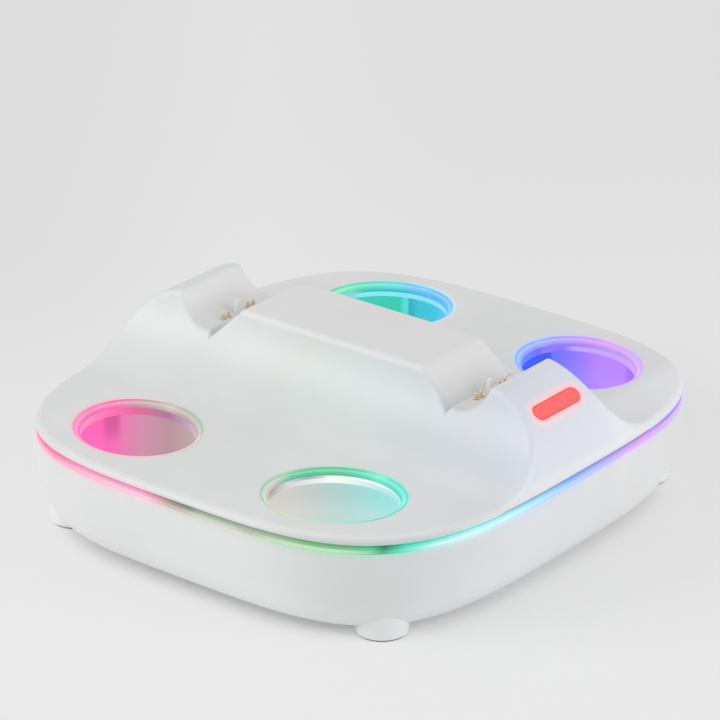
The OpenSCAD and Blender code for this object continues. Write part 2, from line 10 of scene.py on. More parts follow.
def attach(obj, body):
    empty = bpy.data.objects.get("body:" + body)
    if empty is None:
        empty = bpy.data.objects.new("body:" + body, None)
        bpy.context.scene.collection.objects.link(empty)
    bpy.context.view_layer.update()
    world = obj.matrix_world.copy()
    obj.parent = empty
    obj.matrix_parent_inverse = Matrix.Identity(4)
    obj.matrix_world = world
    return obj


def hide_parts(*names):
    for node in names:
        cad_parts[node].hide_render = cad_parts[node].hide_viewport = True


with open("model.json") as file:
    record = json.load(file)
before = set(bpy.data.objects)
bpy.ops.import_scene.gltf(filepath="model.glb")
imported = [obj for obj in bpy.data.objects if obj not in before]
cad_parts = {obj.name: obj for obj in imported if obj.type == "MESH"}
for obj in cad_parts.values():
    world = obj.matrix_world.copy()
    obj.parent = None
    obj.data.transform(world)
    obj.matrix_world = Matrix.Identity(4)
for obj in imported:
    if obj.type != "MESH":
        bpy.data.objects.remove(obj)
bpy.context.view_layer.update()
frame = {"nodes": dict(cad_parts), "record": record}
cadNodes = frame["nodes"]
print("frame loaded:", len(cadNodes), "pieces")

# Shared sizes of the dock in millimetres, as in the CAD source
dock = {
    "halfLength": 76.9, "halfDepth": 82.4, "power": 3.6,
    "deckZ": 32.6, "ridgeTop": 54.6, "stripTop": 30.6, "stripBottom": 27.9, "baseZ": 3.8,
    "wellX": 35.4, "wellY": 56.02, "wellA": 20.18, "wellB": 17.53, "wellTurn": 19.5,
    "contactX": 45.8, "notchZ": 46.0,
}
wellSides = {"front_left": (-1, -1), "front_right": (1, -1), "back_left": (-1, 1), "back_right": (1, 1)}
fine = 1.0
mm = 0.001


# Mesh helpers: every shape is collected as patches of points, triangles and normals

def joinPatches(patches):
    points, faces, normals, start = [], [], [], 0
    for patchPoints, patchFaces, patchNormals in patches:
        points.append(patchPoints)
        normals.append(patchNormals)
        faces += [tuple(int(i) + start for i in face) for face in patchFaces]
        start += len(patchPoints)
    return np.vstack(points), faces, np.vstack(normals)


def faceNormals(points, faces):
    total = np.zeros_like(points)
    for size in (3, 4):
        group = np.array([f for f in faces if len(f) == size], dtype=int)
        if not len(group):
            continue
        a, b, c = points[group[:, 0]], points[group[:, 1]], points[group[:, 2]]
        crossed = np.cross(b - a, c - a) if size == 3 else np.cross(c - a, points[group[:, 3]] - b)
        for k in range(size):
            np.add.at(total, group[:, k], crossed)
    return total / np.maximum(np.linalg.norm(total, axis=1, keepdims=True), 1e-12)


def makePiece(name, patches, body="dock"):
    points, faces, normals = joinPatches(patches)
    mesh = bpy.data.meshes.new(name)
    mesh.from_pydata((points * mm).tolist(), [], faces)
    mesh.polygons.foreach_set("use_smooth", [True] * len(mesh.polygons))
    mesh.normals_split_custom_set_from_vertices(normals.tolist())
    piece = bpy.data.objects.new(name, mesh)
    bpy.context.scene.collection.objects.link(piece)
    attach(piece, body)
    return piece


# Closed sweep through rings of points
def sweepPatch(rings, flip=False):
    count = len(rings[0])
    points = np.vstack(rings)
    faces = []
    for k in range(len(rings) - 1):
        low, high = k * count, (k + 1) * count
        for i in range(count):
            j = (i + 1) % count
            face = (low + i, low + j, high + j, high + i)
            faces.append(face[::-1] if flip else face)
    return points, faces, faceNormals(points, faces)


# Profile points with the sharp ones doubled, so that a sweep keeps its edges
def sweepProfile(profile, ringAt, flip=False):
    runs, run = [], []
    for point in profile:
        run.append(point[:2])
        if len(point) > 2 and len(run) > 1:
            runs.append(run)
            run = [point[:2]]
    if len(run) > 1:
        runs.append(run)
    return [sweepPatch([ringAt(*p) for p in r], flip) for r in runs]


def atHeight(flat, z):
    return np.column_stack([flat, np.full(len(flat), z)])


def circleLoop(centre, radius, segments):
    turn = np.linspace(0, 2 * np.pi, segments, endpoint=False)
    return np.column_stack([centre[0] + radius * np.cos(turn), centre[1] + radius * np.sin(turn)])


def lathe(profile, centre, segments=48, flip=False):
    def ringAt(radius, z):
        return atHeight(circleLoop(centre, radius, segments), z)
    return sweepProfile(profile, ringAt, flip)


def fillPlan(loops, inner, keep):
    coords, edges = [], []
    for loop in loops:
        start, count = len(coords), len(loop)
        coords += [Vector(p) for p in loop]
        edges += [(start + i, start + (i + 1) % count) for i in range(count)]
    coords += [Vector(p) for p in inner]
    found = delaunay_2d_cdt(coords, edges, [], 0, 1e-5)
    flat = np.array([v[:] for v in found[0]])
    faces = np.array([f for f in found[2] if len(f) == 3])
    middle = flat[faces].mean(axis=1)
    faces = faces[keep(middle[:, 0], middle[:, 1])]
    a, b, c = flat[faces[:, 0]], flat[faces[:, 1]], flat[faces[:, 2]]
    turned = (b[:, 0] - a[:, 0]) * (c[:, 1] - a[:, 1]) - (b[:, 1] - a[:, 1]) * (c[:, 0] - a[:, 0]) < 0
    faces[turned] = faces[turned][:, ::-1]
    return flat, faces


# Outline of the dock, evenly spaced, with its outward normals

def outlineLoop(count):
    turn = np.linspace(0, 2 * np.pi, 20000, endpoint=False) - np.pi / 2
    share = 2 / dock["power"]
    x = dock["halfLength"] * np.sign(np.cos(turn)) * np.abs(np.cos(turn)) ** share
    y = dock["halfDepth"] * np.sign(np.sin(turn)) * np.abs(np.sin(turn)) ** share
    step = np.hypot(np.diff(np.append(x, x[0])), np.diff(np.append(y, y[0])))
    run = np.concatenate([[0], np.cumsum(step)])
    spots = np.linspace(0, run[-1], count, endpoint=False)
    x = np.interp(spots, run, np.append(x, x[0]))
    y = np.interp(spots, run, np.append(y, y[0]))
    gx = np.sign(x) * np.abs(x / dock["halfLength"]) ** (dock["power"] - 1) / dock["halfLength"]
    gy = np.sign(y) * np.abs(y / dock["halfDepth"]) ** (dock["power"] - 1) / dock["halfDepth"]
    size = np.hypot(gx, gy)
    return np.column_stack([x, y]), np.column_stack([gx / size, gy / size])


rimPoints, rimNormals = outlineLoop(int(480 * fine))


def outlineRing(inset, z):
    return atHeight(rimPoints - inset * rimNormals, z)


def ovalRing(side, inset, z, segments=192):
    angles = np.linspace(0, 2 * np.pi, segments, endpoint=False)
    turn = math.radians(-side[0] * side[1] * dock["wellTurn"])
    u = (dock["wellA"] - inset) * np.cos(angles)
    v = (dock["wellB"] - inset) * np.sin(angles)
    x = side[0] * dock["wellX"] + u * math.cos(turn) - v * math.sin(turn)
    y = side[1] * dock["wellY"] + u * math.sin(turn) + v * math.cos(turn)
    return np.column_stack([x, y, np.full(segments, z)])


# Distance fields in millimetres: above zero is outside of the plastic

def roundMax(a, b, radius):
    inside = np.minimum(-radius, np.maximum(a, b))
    return inside + np.hypot(np.maximum(a + radius, 0), np.maximum(b + radius, 0))


def insetOf(x, y):
    u, v, n = np.abs(x) / dock["halfLength"], np.abs(y) / dock["halfDepth"], dock["power"]
    total = u ** n + v ** n + 1e-12
    root = total ** (1 / n)
    scale = total ** (1 / n - 1)
    gx, gy = scale * u ** (n - 1) / dock["halfLength"], scale * v ** (n - 1) / dock["halfDepth"]
    return (1 - root) / np.maximum(np.hypot(gx, gy), 1e-9)


def ovalField(x, y):
    turn = math.radians(-dock["wellTurn"])
    px, py = np.abs(x) - dock["wellX"], np.abs(y) - dock["wellY"]
    u = px * math.cos(turn) + py * math.sin(turn)
    v = py * math.cos(turn) - px * math.sin(turn)
    root = np.hypot(u / dock["wellA"], v / dock["wellB"]) + 1e-9
    slope = np.hypot(u / dock["wellA"] ** 2, v / dock["wellB"] ** 2) / root + 1e-9
    return (1 - root) / slope


# Top shell: deck, scoops, shoulders and notches as one rounded field
shell = {
    "lipRadius": 2.0, "ridgeEdge": 0.9, "notchEdge": 0.7, "crestEdge": 1.0, "wellEdge": 0.3,
    "scoopRadius": 23.7, "ridgeHalf": 13.3,
    "shoulderStart": 53.7, "shoulderFoot": 30.9, "shoulderRise": 1.81, "shoulderRun": 1.95,
    "notchStart": 32.6, "notchArc": 10.0, "notchAngle": 75.0, "grooveX": 42.7, "grooveDepth": 1.4,
    "grooveWidth": 0.9, "lensAngle": 50.0, "lensLength": 20.0, "lensWidth": 4.6, "lensGap": 0.12,
    "pinHole": 0.85, "pegHole": 1.6,
}
scoopZ = dock["deckZ"] + shell["scoopRadius"]
scoopY = shell["ridgeHalf"] + math.sqrt(shell["scoopRadius"] ** 2 - (scoopZ - dock["ridgeTop"]) ** 2)
contactYs = (-6.65, -4.35, 4.35, 6.65)


def shoulderField(depth, z):
    run = dock["halfLength"] - shell["shoulderStart"]
    u = np.clip((run - depth) / run, 0, None)
    t = np.clip((z - shell["shoulderFoot"]) / (dock["ridgeTop"] - shell["shoulderFoot"]), 0, None)
    mean = (shell["shoulderRise"] + shell["shoulderRun"]) / 2
    return ((u ** shell["shoulderRun"] + t ** shell["shoulderRise"]) ** (1 / mean) - 1) * run


def notchField(x, z):
    ax = np.abs(x)
    inner = ((ax - shell["notchStart"]) + (z - dock["ridgeTop"])) * math.sqrt(0.5)
    centreX, centreZ = dock["contactX"] - 0.3, dock["notchZ"] + shell["notchArc"]
    lean = np.clip(np.arctan2(ax - centreX, centreZ - z), 0, math.radians(shell["notchAngle"]))
    outer = shell["notchArc"] - ((ax - centreX) * np.sin(lean) + (centreZ - z) * np.cos(lean))
    slope = shell["grooveDepth"] / shell["grooveWidth"]
    groove = (z - (dock["notchZ"] - shell["grooveDepth"]) - (ax - shell["grooveX"]) * slope) / math.hypot(1, slope)
    floor = np.where(ax < shell["grooveX"] + shell["grooveWidth"], np.maximum(groove, outer), outer)
    return np.minimum(inner, floor)


def smoothStep(share):
    share = np.clip(share, 0, 1)
    return share * share * (3 - 2 * share)


def bodyField(x, y, z):
    ay, ax = np.abs(y), np.abs(x)
    scoop = np.where(ay < scoopY, shell["scoopRadius"] - np.hypot(ay - scoopY, z - scoopZ), z - dock["deckZ"])
    low = smoothStep((dock["deckZ"] + 9 - z) / 8)
    radius = shell["ridgeEdge"] + (shell["lipRadius"] - shell["ridgeEdge"]) * low
    field = roundMax(scoop, shoulderField(insetOf(x, y), z), radius)
    crest = smoothStep((ax - dock["contactX"] - 3) / 5)
    edge = shell["notchEdge"] + (shell["crestEdge"] - shell["notchEdge"]) * crest
    field = np.where((ay < 30) & (ax < 66), roundMax(field, notchField(x, z), edge), field)
    return roundMax(field, ovalField(x, y), shell["wellEdge"])


# Finds the body's skin by halving: below(middle) is true inside of the plastic
def findSkin(low, high, below):
    for _ in range(34):
        middle = (low + high) / 2
        inside = below(middle)
        low, high = np.where(inside, middle, low), np.where(inside, high, middle)
    return low


def surfaceZ(x, y):
    low, high = np.full_like(x, dock["stripTop"]), np.full_like(x, dock["ridgeTop"])
    return findSkin(low, high, lambda z: bodyField(x, y, z) <= 1e-5)


def fieldNormals(points, step=0.004):
    steps = step * np.eye(3)
    slope = np.column_stack([bodyField(*(points + move).T) - bodyField(*(points - move).T) for move in steps])
    return slope / np.maximum(np.linalg.norm(slope, axis=1, keepdims=True), 1e-12)


# Point of the shoulder's skin, from a place on the lens: along y, and across it
lensUp = np.array([math.cos(math.radians(shell["lensAngle"])), 0, math.sin(math.radians(shell["lensAngle"]))])
lensSide = np.array([-lensUp[2], 0, lensUp[0]])
lensRoot = np.array([52.8, 0, 30.1])


def onShoulder(side, along, across, sink=0.0):
    start = lensRoot + np.outer(across, lensSide) + np.outer(along, (0, 1, 0))
    low, high = np.full(len(start), 15.0), np.full(len(start), 32.0)
    skin = findSkin(low, high, lambda reach: bodyField(*(start + reach[:, None] * lensUp).T) <= 0)
    spot = start + (skin - sink)[:, None] * lensUp
    spot[:, 0] *= side
    return spot


def pillLoop(length, width, segments=20):
    radius = width / 2
    turn = np.linspace(-np.pi / 2, np.pi / 2, segments)
    end = np.column_stack([length / 2 - radius + radius * np.cos(turn), radius * np.sin(turn)])
    straight = np.linspace(1, -1, 18)[1:-1, None] * np.array([[length / 2 - radius, 0]]) + np.array([[0, radius]])
    return np.vstack([end, straight, -end, -straight])


def topShellPatches():
    insets = (0, 0.02, 0.06, 0.13, 0.24, 0.38, 0.56, 0.78, 1.05, 1.35, 1.7, 2.1, 2.6, 3.2, 4.0)
    rings = []
    for inset in insets:
        flat = outlineRing(inset, 0)
        flat[:, 2] = surfaceZ(flat[:, 0], flat[:, 1])
        rings.append(flat)
    bandPoints, bandFaces, _ = sweepPatch(rings)
    bandNormals = fieldNormals(bandPoints)
    bandNormals[:len(rimPoints)] = np.column_stack([rimNormals, np.zeros(len(rimPoints))])
    patches = [(bandPoints, bandFaces, bandNormals)]

    step = 0.42 / fine
    xs = np.arange(-76, 76.01, step)
    ys = np.arange(-82, 82.01, step)
    gridX, gridY = np.meshgrid(xs, ys)
    heights = surfaceZ(gridX.ravel(), gridY.ravel()).reshape(gridX.shape)
    bend = np.abs(np.gradient(np.gradient(heights, axis=1), axis=1))
    bend += np.abs(np.gradient(np.gradient(heights, axis=0), axis=0))
    sharp = bend > 0.012
    for shift in (-1, 1):
        sharp |= np.roll(sharp, shift, axis=0) | np.roll(sharp, shift, axis=1)
    third = (np.arange(len(ys))[:, None] % 3 == 0) & (np.arange(len(xs))[None, :] % 3 == 0)
    loops, keepers = [rings[-1][:, :2]], []
    wellRings = []
    for side in wellSides.values():
        loops.append(ovalRing(side, 0, 0)[:, :2])
        wellRings += [ovalRing(side, -grow, 0)[:, :2] for grow in (0.03, 0.1, 0.2, 0.35, 0.9)]
    slot = pillLoop(shell["lensLength"] + 2 * shell["lensGap"], shell["lensWidth"] + 2 * shell["lensGap"])
    holes = []
    for side in (-1, 1):
        loops.append(onShoulder(side, slot[:, 0], slot[:, 1])[:, :2])
        own = [((side * dock["contactX"], y), shell["pinHole"], 24) for y in contactYs]
        own.append(((side * dock["contactX"], 0), shell["pegHole"], 32))
        loops += [circleLoop(*hole) for hole in own]
        holes += own
    slotEdges = [loop for loop in loops if abs(loop[:, 0].mean()) > 60 and len(loop) > 32]

    def holeField(x, y):
        inside = ovalField(x, y) > 0
        for (x0, y0), radius, _ in holes:
            inside |= np.hypot(x - x0, y - y0) < radius
        for loop in slotEdges:
            inside |= insideLoop(x, y, loop)
        return inside

    flatX, flatY = gridX.ravel(), gridY.ravel()
    keep = (sharp | third).ravel() & (insetOf(flatX, flatY) > 4.3) & (ovalField(flatX, flatY) < -1.1)
    for (x0, y0), radius, _ in holes:
        keep &= np.hypot(flatX - x0, flatY - y0) > radius + 0.25
    for loop in slotEdges:
        middle = loop.mean(axis=0)
        keep &= ~insideLoop(flatX, flatY, middle + (loop - middle) * np.array([1.12, 1.03]))
    inner = np.vstack([np.column_stack([flatX[keep], flatY[keep]])] + wellRings)
    flat, faces = fillPlan(loops, inner, lambda x, y: (insetOf(x, y) > 3.9) & ~holeField(x, y))
    points = np.column_stack([flat, surfaceZ(flat[:, 0], flat[:, 1])])
    patches.append((points, faces, fieldNormals(points)))

    # walls of the openings, and the rim's underside
    for side in wellSides.values():
        edge = ovalRing(side, 0, dock["deckZ"] - shell["wellEdge"])
        patches.append(sweepPatch([edge, ovalRing(side, 0, dock["stripTop"])]))
    patches.append(sweepPatch([outlineRing(0, dock["stripTop"]), outlineRing(3.2, dock["stripTop"])], True))
    for side in (-1, 1):
        slotRings = [onShoulder(side, slot[:, 0], slot[:, 1], sink) for sink in (0.0, 1.2)]
        patches.append(sweepPatch(slotRings, side < 0))
    for spot, radius, _ in holes:
        hole = circleLoop(spot, radius, 32)
        patches.append(sweepPatch([atHeight(hole, dock["notchZ"]), atHeight(hole, dock["notchZ"] - 2)]))
    return patches


def insideLoop(x, y, loop):
    inside = np.zeros(x.shape, bool)
    box = (x > loop[:, 0].min()) & (x < loop[:, 0].max()) & (y > loop[:, 1].min()) & (y < loop[:, 1].max())
    px, py = x[box], y[box]
    hit = np.zeros(px.shape, bool)
    for a, b in zip(loop, np.roll(loop, -1, axis=0)):
        crosses = (a[1] > py) != (b[1] > py)
        hit ^= crosses & (px < (b[0] - a[0]) * (py - a[1]) / (b[1] - a[1] + 1e-12) + a[0])
    inside[box] = hit
    return inside


topShell = makePiece("topShell", topShellPatches())
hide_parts("top_shell")
print("top shell built:", len(topShell.data.polygons), "faces")


# Base shell: wall that turns in, underside, feet, screw recesses and the socket's opening
base = {
    "roundRadius": 21.0, "bottomInset": 5.9, "edge": 0.45, "topEdge": 0.35, "wall": 2.4,
    "footX": 55.6, "footY": 60.9, "footRadius": 7.4, "footBottom": 0.4, "footTop": 7.7, "footEdge": 0.4,
    "screwX": 62.0, "screwY": 33.0, "recess": 2.8, "recessTop": 7.2,
    "socketZ": 14.4, "socketWidth": 9.1, "socketHeight": 3.4, "socketPatch": 8.0,
}
arcHeight = math.sqrt(base["roundRadius"] ** 2 - (base["roundRadius"] - base["bottomInset"]) ** 2)


def wallInset(z):
    drop = np.clip(dock["baseZ"] + arcHeight - z, 0, None)
    return base["roundRadius"] - np.sqrt(base["roundRadius"] ** 2 - drop ** 2)


def basePatches():
    topZ = dock["stripBottom"]
    profile = [(base["wall"], topZ), (base["topEdge"], topZ)]
    for turn in np.radians((22, 45, 68, 90)):
        profile.append((base["topEdge"] * (1 - math.sin(turn)), topZ - base["topEdge"] * (1 - math.cos(turn))))
    heights = np.concatenate([np.linspace(27, 18.4, 10), np.linspace(17.6, dock["baseZ"] + 0.35, 24)])
    profile += [(float(wallInset(z)), float(z)) for z in heights]
    lastInset = profile[-1][0]
    profile += [(lastInset + 0.22, dock["baseZ"] + 0.13), (lastInset + 0.5, dock["baseZ"] + 0.02)]
    profile.append((lastInset + 0.85, dock["baseZ"]))
    rings = [outlineRing(*p) for p in profile]
    count = len(rimPoints)
    points, faces, normals = sweepPatch(rings)
    faces = [f[::-1] for f in faces]
    normals = -normals
    rows = [k for k, p in enumerate(profile) if 9.5 < p[1] < 19.5 and k > 6]
    half = base["socketPatch"]
    columns = [i for i in range(count) if rimPoints[i, 1] > 0 and abs(rimPoints[i, 0]) < half]
    window = {(k, i) for k in rows[:-1] for i in columns[:-1]}
    kept = [f for n, f in enumerate(faces) if (n // count, n % count) not in window]
    patches = [(points, kept, normals)]

    # part of the back wall with the socket's opening, drawn in x and z
    top, bottom = rows[0], rows[-1]
    border = [points[top * count + i] for i in columns]
    border += [points[k * count + columns[-1]] for k in rows[1:-1]]
    border += [points[bottom * count + i] for i in reversed(columns)]
    border += [points[k * count + columns[0]] for k in reversed(rows[1:-1])]
    border = np.array(border)
    hole = pillLoop(base["socketWidth"], base["socketHeight"], 16) + np.array([0, base["socketZ"]])
    grid = [(x, z) for x in np.arange(-7, 7.01, 0.8) for z in np.arange(10.5, 18.6, 0.8)]
    xs, zs = border[:, 0], border[:, 2]

    def inWindow(x, z):
        return insideLoop(x, z, np.column_stack([xs, zs])) & ~insideLoop(x, z, hole)

    grid = np.array(grid)
    bigHole = hole + (hole - np.array([0, base["socketZ"]])) * 0.12
    grid = grid[insideLoop(grid[:, 0], grid[:, 1], np.column_stack([xs, zs]) * np.array([0.97, 1]))
                & ~insideLoop(grid[:, 0], grid[:, 1], bigHole)]
    flat, faces = fillPlan([np.column_stack([xs, zs]), hole], grid, inWindow)
    rimY = dock["halfDepth"] * (1 - (np.abs(flat[:, 0]) / dock["halfLength"]) ** dock["power"]) ** (1 / dock["power"])
    spot = np.column_stack([flat[:, 0], rimY - wallInset(flat[:, 1]), flat[:, 1]])
    lean = (spot[:, 1] - (rimY - base["roundRadius"])) / base["roundRadius"]
    down = np.where(flat[:, 1] < dock["baseZ"] + arcHeight, -np.sqrt(np.clip(1 - lean ** 2, 0, 1)), 0)
    direction = np.column_stack([flat[:, 0] * 0.0001, np.sqrt(np.clip(1 - down ** 2, 0, 1)), down])
    patches.append((spot, [f[::-1] for f in faces], direction))
    edgeY = dock["halfDepth"] - wallInset(hole[:, 1])
    patches.append(sweepPatch([
        np.column_stack([hole[:, 0], edgeY, hole[:, 1]]),
        np.column_stack([hole[:, 0], edgeY - base["wall"], hole[:, 1]]),
    ]))

    # underside with the screw recesses
    edge = outlineRing(*profile[-1])[:, :2]
    screws = [(x, y) for x in (-base["screwX"], base["screwX"]) for y in (-base["screwY"], base["screwY"])]
    loops = [edge] + [circleLoop(s, base["recess"], 40) for s in screws]

    def underField(x, y):
        keep = insideLoop(x, y, edge)
        for s in screws:
            keep &= np.hypot(x - s[0], y - s[1]) > base["recess"] * 0.99
        return keep

    grid = np.array([(x, y) for x in np.arange(-66, 67, 6.0) for y in np.arange(-72, 73, 6.0)])
    keep = insetOf(grid[:, 0], grid[:, 1]) > profile[-1][0] + 3
    for s in screws:
        keep &= np.hypot(grid[:, 0] - s[0], grid[:, 1] - s[1]) > 4
    flat, faces = fillPlan(loops, grid[keep], underField)
    spot = atHeight(flat, dock["baseZ"])
    patches.append((spot, [f[::-1] for f in faces], np.tile((0.0, 0.0, -1.0), (len(flat), 1))))
    for s in screws:
        recess = [(base["recess"], dock["baseZ"]), (base["recess"], base["recessTop"], 1), (1.5, base["recessTop"])]
        patches += lathe(recess, s, 40, True)

    # feet, moulded with the base
    r, e = base["footRadius"], base["footEdge"]
    foot = [(r, base["footTop"]), (r, base["footBottom"] + e)]
    foot += [(r - e * (1 - math.cos(a)), base["footBottom"] + e * (1 - math.sin(a))) for a in np.radians((30, 60, 90))]
    foot += [(r - 0.7, base["footBottom"]), (r - 0.7, base["footBottom"], 1), (r - 0.7, base["footBottom"] + 0.6)]
    for x in (-base["footX"], base["footX"]):
        for y in (-base["footY"], base["footY"]):
            patches += lathe(foot, (x, y), 96, True)
            patches += lathe([(r, base["footTop"]), (0.01, base["footTop"])], (x, y), 96)
    return patches


baseShell = makePiece("baseShell", basePatches())
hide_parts("base_shell")
print("base shell built:", len(baseShell.data.polygons), "faces")


# Light strip between the shells: its face stands back under the lip and has a fine groove
strip = {
    "profile": [
        (2.2, 30.6), (0.62, 30.6, 1), (0.5, 30.3), (0.42, 29.95, 1), (0.3, 29.85, 1), (0.22, 29.5), (0.2, 29.2, 1),
        (0.26, 29.12, 1), (0.16, 29.04, 1), (0.06, 28.7), (0.05, 28.35), (0.14, 28.1), (0.34, 27.94), (0.5, 27.9, 1),
        (2.2, 27.9, 1), (2.2, 30.6),
    ],
}
lightStrip = makePiece("lightStrip", sweepProfile(strip["profile"], outlineRing, True))
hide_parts("light_strip")

# Wells: the lit rim with a sloped and an upright band, and the frosted cup below it
well = {
    "rimProfile": [
        (0.1, 29.4), (0.1, 32.3), (0.16, 32.44), (0.3, 32.5), (0.46, 32.46, 1), (0.56, 32.3), (0.8, 32.04),
        (1.6, 31.15), (1.76, 30.98, 1), (1.84, 30.86), (1.96, 30.8, 1), (2.03, 30.68), (2.03, 28.65), (1.98, 28.5),
        (1.85, 28.4, 1), (0.1, 28.4, 1), (0.1, 29.4, 1), (-1.8, 29.4, 1), (-1.8, 30.6, 1), (0.1, 30.6),
    ],
    "cupProfile": [
        (0.2, 28.4), (1.7, 28.4, 1), (1.66, 27.6), (1.6, 18.0), (1.65, 12.4), (2.0, 11.0), (3.0, 10.25), (4.4, 10.1),
        (12.0, 10.1), (17.5, 10.1),
    ],
    "cupOuter": [(0.2, 28.4), (0.2, 8.6, 1), (17.5, 8.6)],
}
wellRims, wellCups = {}, {}
for wellName, wellSide in wellSides.items():
    segments = int(192 * fine)

    def wellRing(inset, z, side=wellSide, count=segments):
        return ovalRing(side, inset, z, count)

    pieceName = "".join(word.capitalize() for word in wellName.split("_"))
    wellRims[wellName] = makePiece("wellRim" + pieceName, sweepProfile(well["rimProfile"], wellRing))
    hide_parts("well_rim_" + wellName)
    cup = sweepProfile(well["cupProfile"], wellRing) + sweepProfile(well["cupOuter"], wellRing, True)
    wellCups[wellName] = makePiece("wellCup" + pieceName, cup)
    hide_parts("well_cup_" + wellName)
print("strip and wells built")

# Indicator lenses, flush with the shoulders
lens = {"edge": 0.3, "depth": 1.6, "along": 0.6, "across": 0.4}
lensPieces = {}
for lensName, lensHand in (("left", -1), ("right", 1)):
    loops = []
    soft = 0.3 * lens["edge"]
    for shrink, sink in ((0.0, lens["depth"]), (0.0, lens["edge"]), (soft, soft), (lens["edge"], 0.0)):
        outline = pillLoop(shell["lensLength"] - 2 * shrink, shell["lensWidth"] - 2 * shrink)
        loops.append(onShoulder(lensHand, outline[:, 0], outline[:, 1], sink))
    rim = pillLoop(shell["lensLength"] - 2 * lens["edge"], shell["lensWidth"] - 2 * lens["edge"])
    spread = np.array([
        (a, b) for a in np.arange(-9.6, 9.61, lens["along"]) for b in np.arange(-2.0, 2.01, lens["across"])
    ])
    spread = spread[insideLoop(spread[:, 0], spread[:, 1], rim * 0.96)]
    flat, faces = fillPlan([rim], spread, lambda a, b: insideLoop(a, b, rim * 1.001))
    top = onShoulder(lensHand, flat[:, 0], flat[:, 1])
    normals = fieldNormals(top)
    if lensHand < 0:
        faces = [f[::-1] for f in faces]
    lensPieces[lensName] = makePiece("indicatorLens" + lensName.capitalize(), [
        sweepPatch(loops, lensHand < 0), (top, faces, normals),
    ])
    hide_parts("indicator_lens_" + lensName)

# Contacts: domed plungers in flared collars, and the guide peg on its block
contact = {
    "plunger": [
        (0.001, 48.1), (0.2, 48.06), (0.34, 47.94), (0.44, 47.72), (0.48, 47.4), (0.48, 46.0), (0.48, 45.93, 1),
        (0.58, 45.93, 1), (0.58, 42.95, 1), (0.001, 42.95, 1),
    ],
    "barrel": [
        (0.53, 45.95), (0.53, 46.25, 1), (0.6, 46.35, 1), (0.7, 46.35), (0.75, 46.28), (0.75, 45.9), (0.75, 36.2, 1),
        (0.001, 36.2, 1),
    ],
    "peg": [
        (0.001, 50.2), (0.45, 50.16), (0.72, 50.02), (0.9, 49.78), (0.98, 49.45), (1.12, 48.4), (1.5, 46.0),
        (1.5, 43.8, 1),
    ],
    "block": (8.0, 20.0, 37.8, 43.8),
}


def boxPatch(low, high):
    ends = np.array([low, high], float)
    patches = []
    for axis in range(3):
        u, v = (axis + 1) % 3, (axis + 2) % 3
        for end in (0, 1):
            points = np.tile(ends[end], (4, 1))
            points[:, u], points[:, v] = ends[[0, 1, 1, 0], u], ends[[0, 0, 1, 1], v]
            normal = (2 * end - 1) * np.eye(3)[axis]
            patches.append((points, [(0, 1, 2, 3) if end else (3, 2, 1, 0)], np.tile(normal, (4, 1))))
    return patches


plungers, barrels, pegs = [], [], []
for handName, hand in (("left", -1), ("right", 1)):
    for number, y in enumerate(contactYs, 1):
        plunger = makePiece(
            f"plunger{handName.capitalize()}{number}",
            lathe(contact["plunger"], (hand * dock["contactX"], y), 28, True), f"plunger_{handName}_{number}",
        )
        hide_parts(f"pin_{handName}_{number}")
        plungers.append(plunger)
    tubes = []
    for y in contactYs:
        tubes += lathe(contact["barrel"], (hand * dock["contactX"], y), 28, True)
    barrels.append(makePiece("pinBarrels" + handName.capitalize(), tubes))
    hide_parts("pin_barrels_" + handName)
    width, depth, low, high = contact["block"]
    middle = hand * dock["contactX"]
    block = boxPatch((middle - width / 2, -depth / 2, low), (middle + width / 2, depth / 2, high))
    block += lathe(contact["peg"], (middle, 0), 40, True)
    pegs.append(makePiece("contactBlock" + handName.capitalize(), block))
    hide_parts("contact_block_" + handName)
print("lenses and contacts built")


# Shader helpers
alongAxis, awayAxis = (0.777, 0.629), (-0.629, 0.777)  # along the rainbow, and away from the camera
rainbowReach = 100.0  # millimetres to each side of the middle


def shade(red, green, blue):
    tones = [c / 255 for c in (red, green, blue)]
    return tuple(t / 12.92 if t <= 0.04045 else ((t + 0.055) / 1.055) ** 2.4 for t in tones) + (1.0,)


def addNode(tree, kind, inputs=None, **settings):
    node = tree.nodes.new(kind)
    for key, value in settings.items():
        setattr(node, key, value)
    for key, value in (inputs or {}).items():
        socket = node.inputs[key]
        if isinstance(value, bpy.types.NodeSocket):
            tree.links.new(value, socket)
        else:
            socket.default_value = value
    return node


def calc(tree, operation, *values, clamp=False):
    return addNode(tree, "ShaderNodeMath", dict(enumerate(values)), operation=operation, use_clamp=clamp).outputs[0]


def times(tree, value, *others):
    for other in others:
        value = calc(tree, "MULTIPLY", value, other)
    return value


def absolute(tree, value):
    return calc(tree, "ABSOLUTE", value)


def onAxis(tree, x, y, axis):
    return calc(tree, "ADD", times(tree, x, axis[0]), times(tree, y, axis[1]))


def mixColor(tree, factor, a, b, blend="MIX"):
    node = addNode(tree, "ShaderNodeMix", {0: factor, 6: a, 7: b}, data_type="RGBA", blend_type=blend)
    return node.outputs[2]


def ease(tree, value, low, high):
    node = addNode(tree, "ShaderNodeMapRange", {"Value": value, "From Min": low, "From Max": high})
    node.interpolation_type = "SMOOTHSTEP"
    return node.outputs[0]


def ramp(tree, factor, stops):
    node = addNode(tree, "ShaderNodeValToRGB", {0: factor})
    points = node.color_ramp.elements
    while len(points) > 1:
        points.remove(points[-1])
    for k, (spot, color) in enumerate(stops):
        point = points[0] if k == 0 else points.new(spot)
        point.position = spot
        point.color = color
    return node.outputs[0]


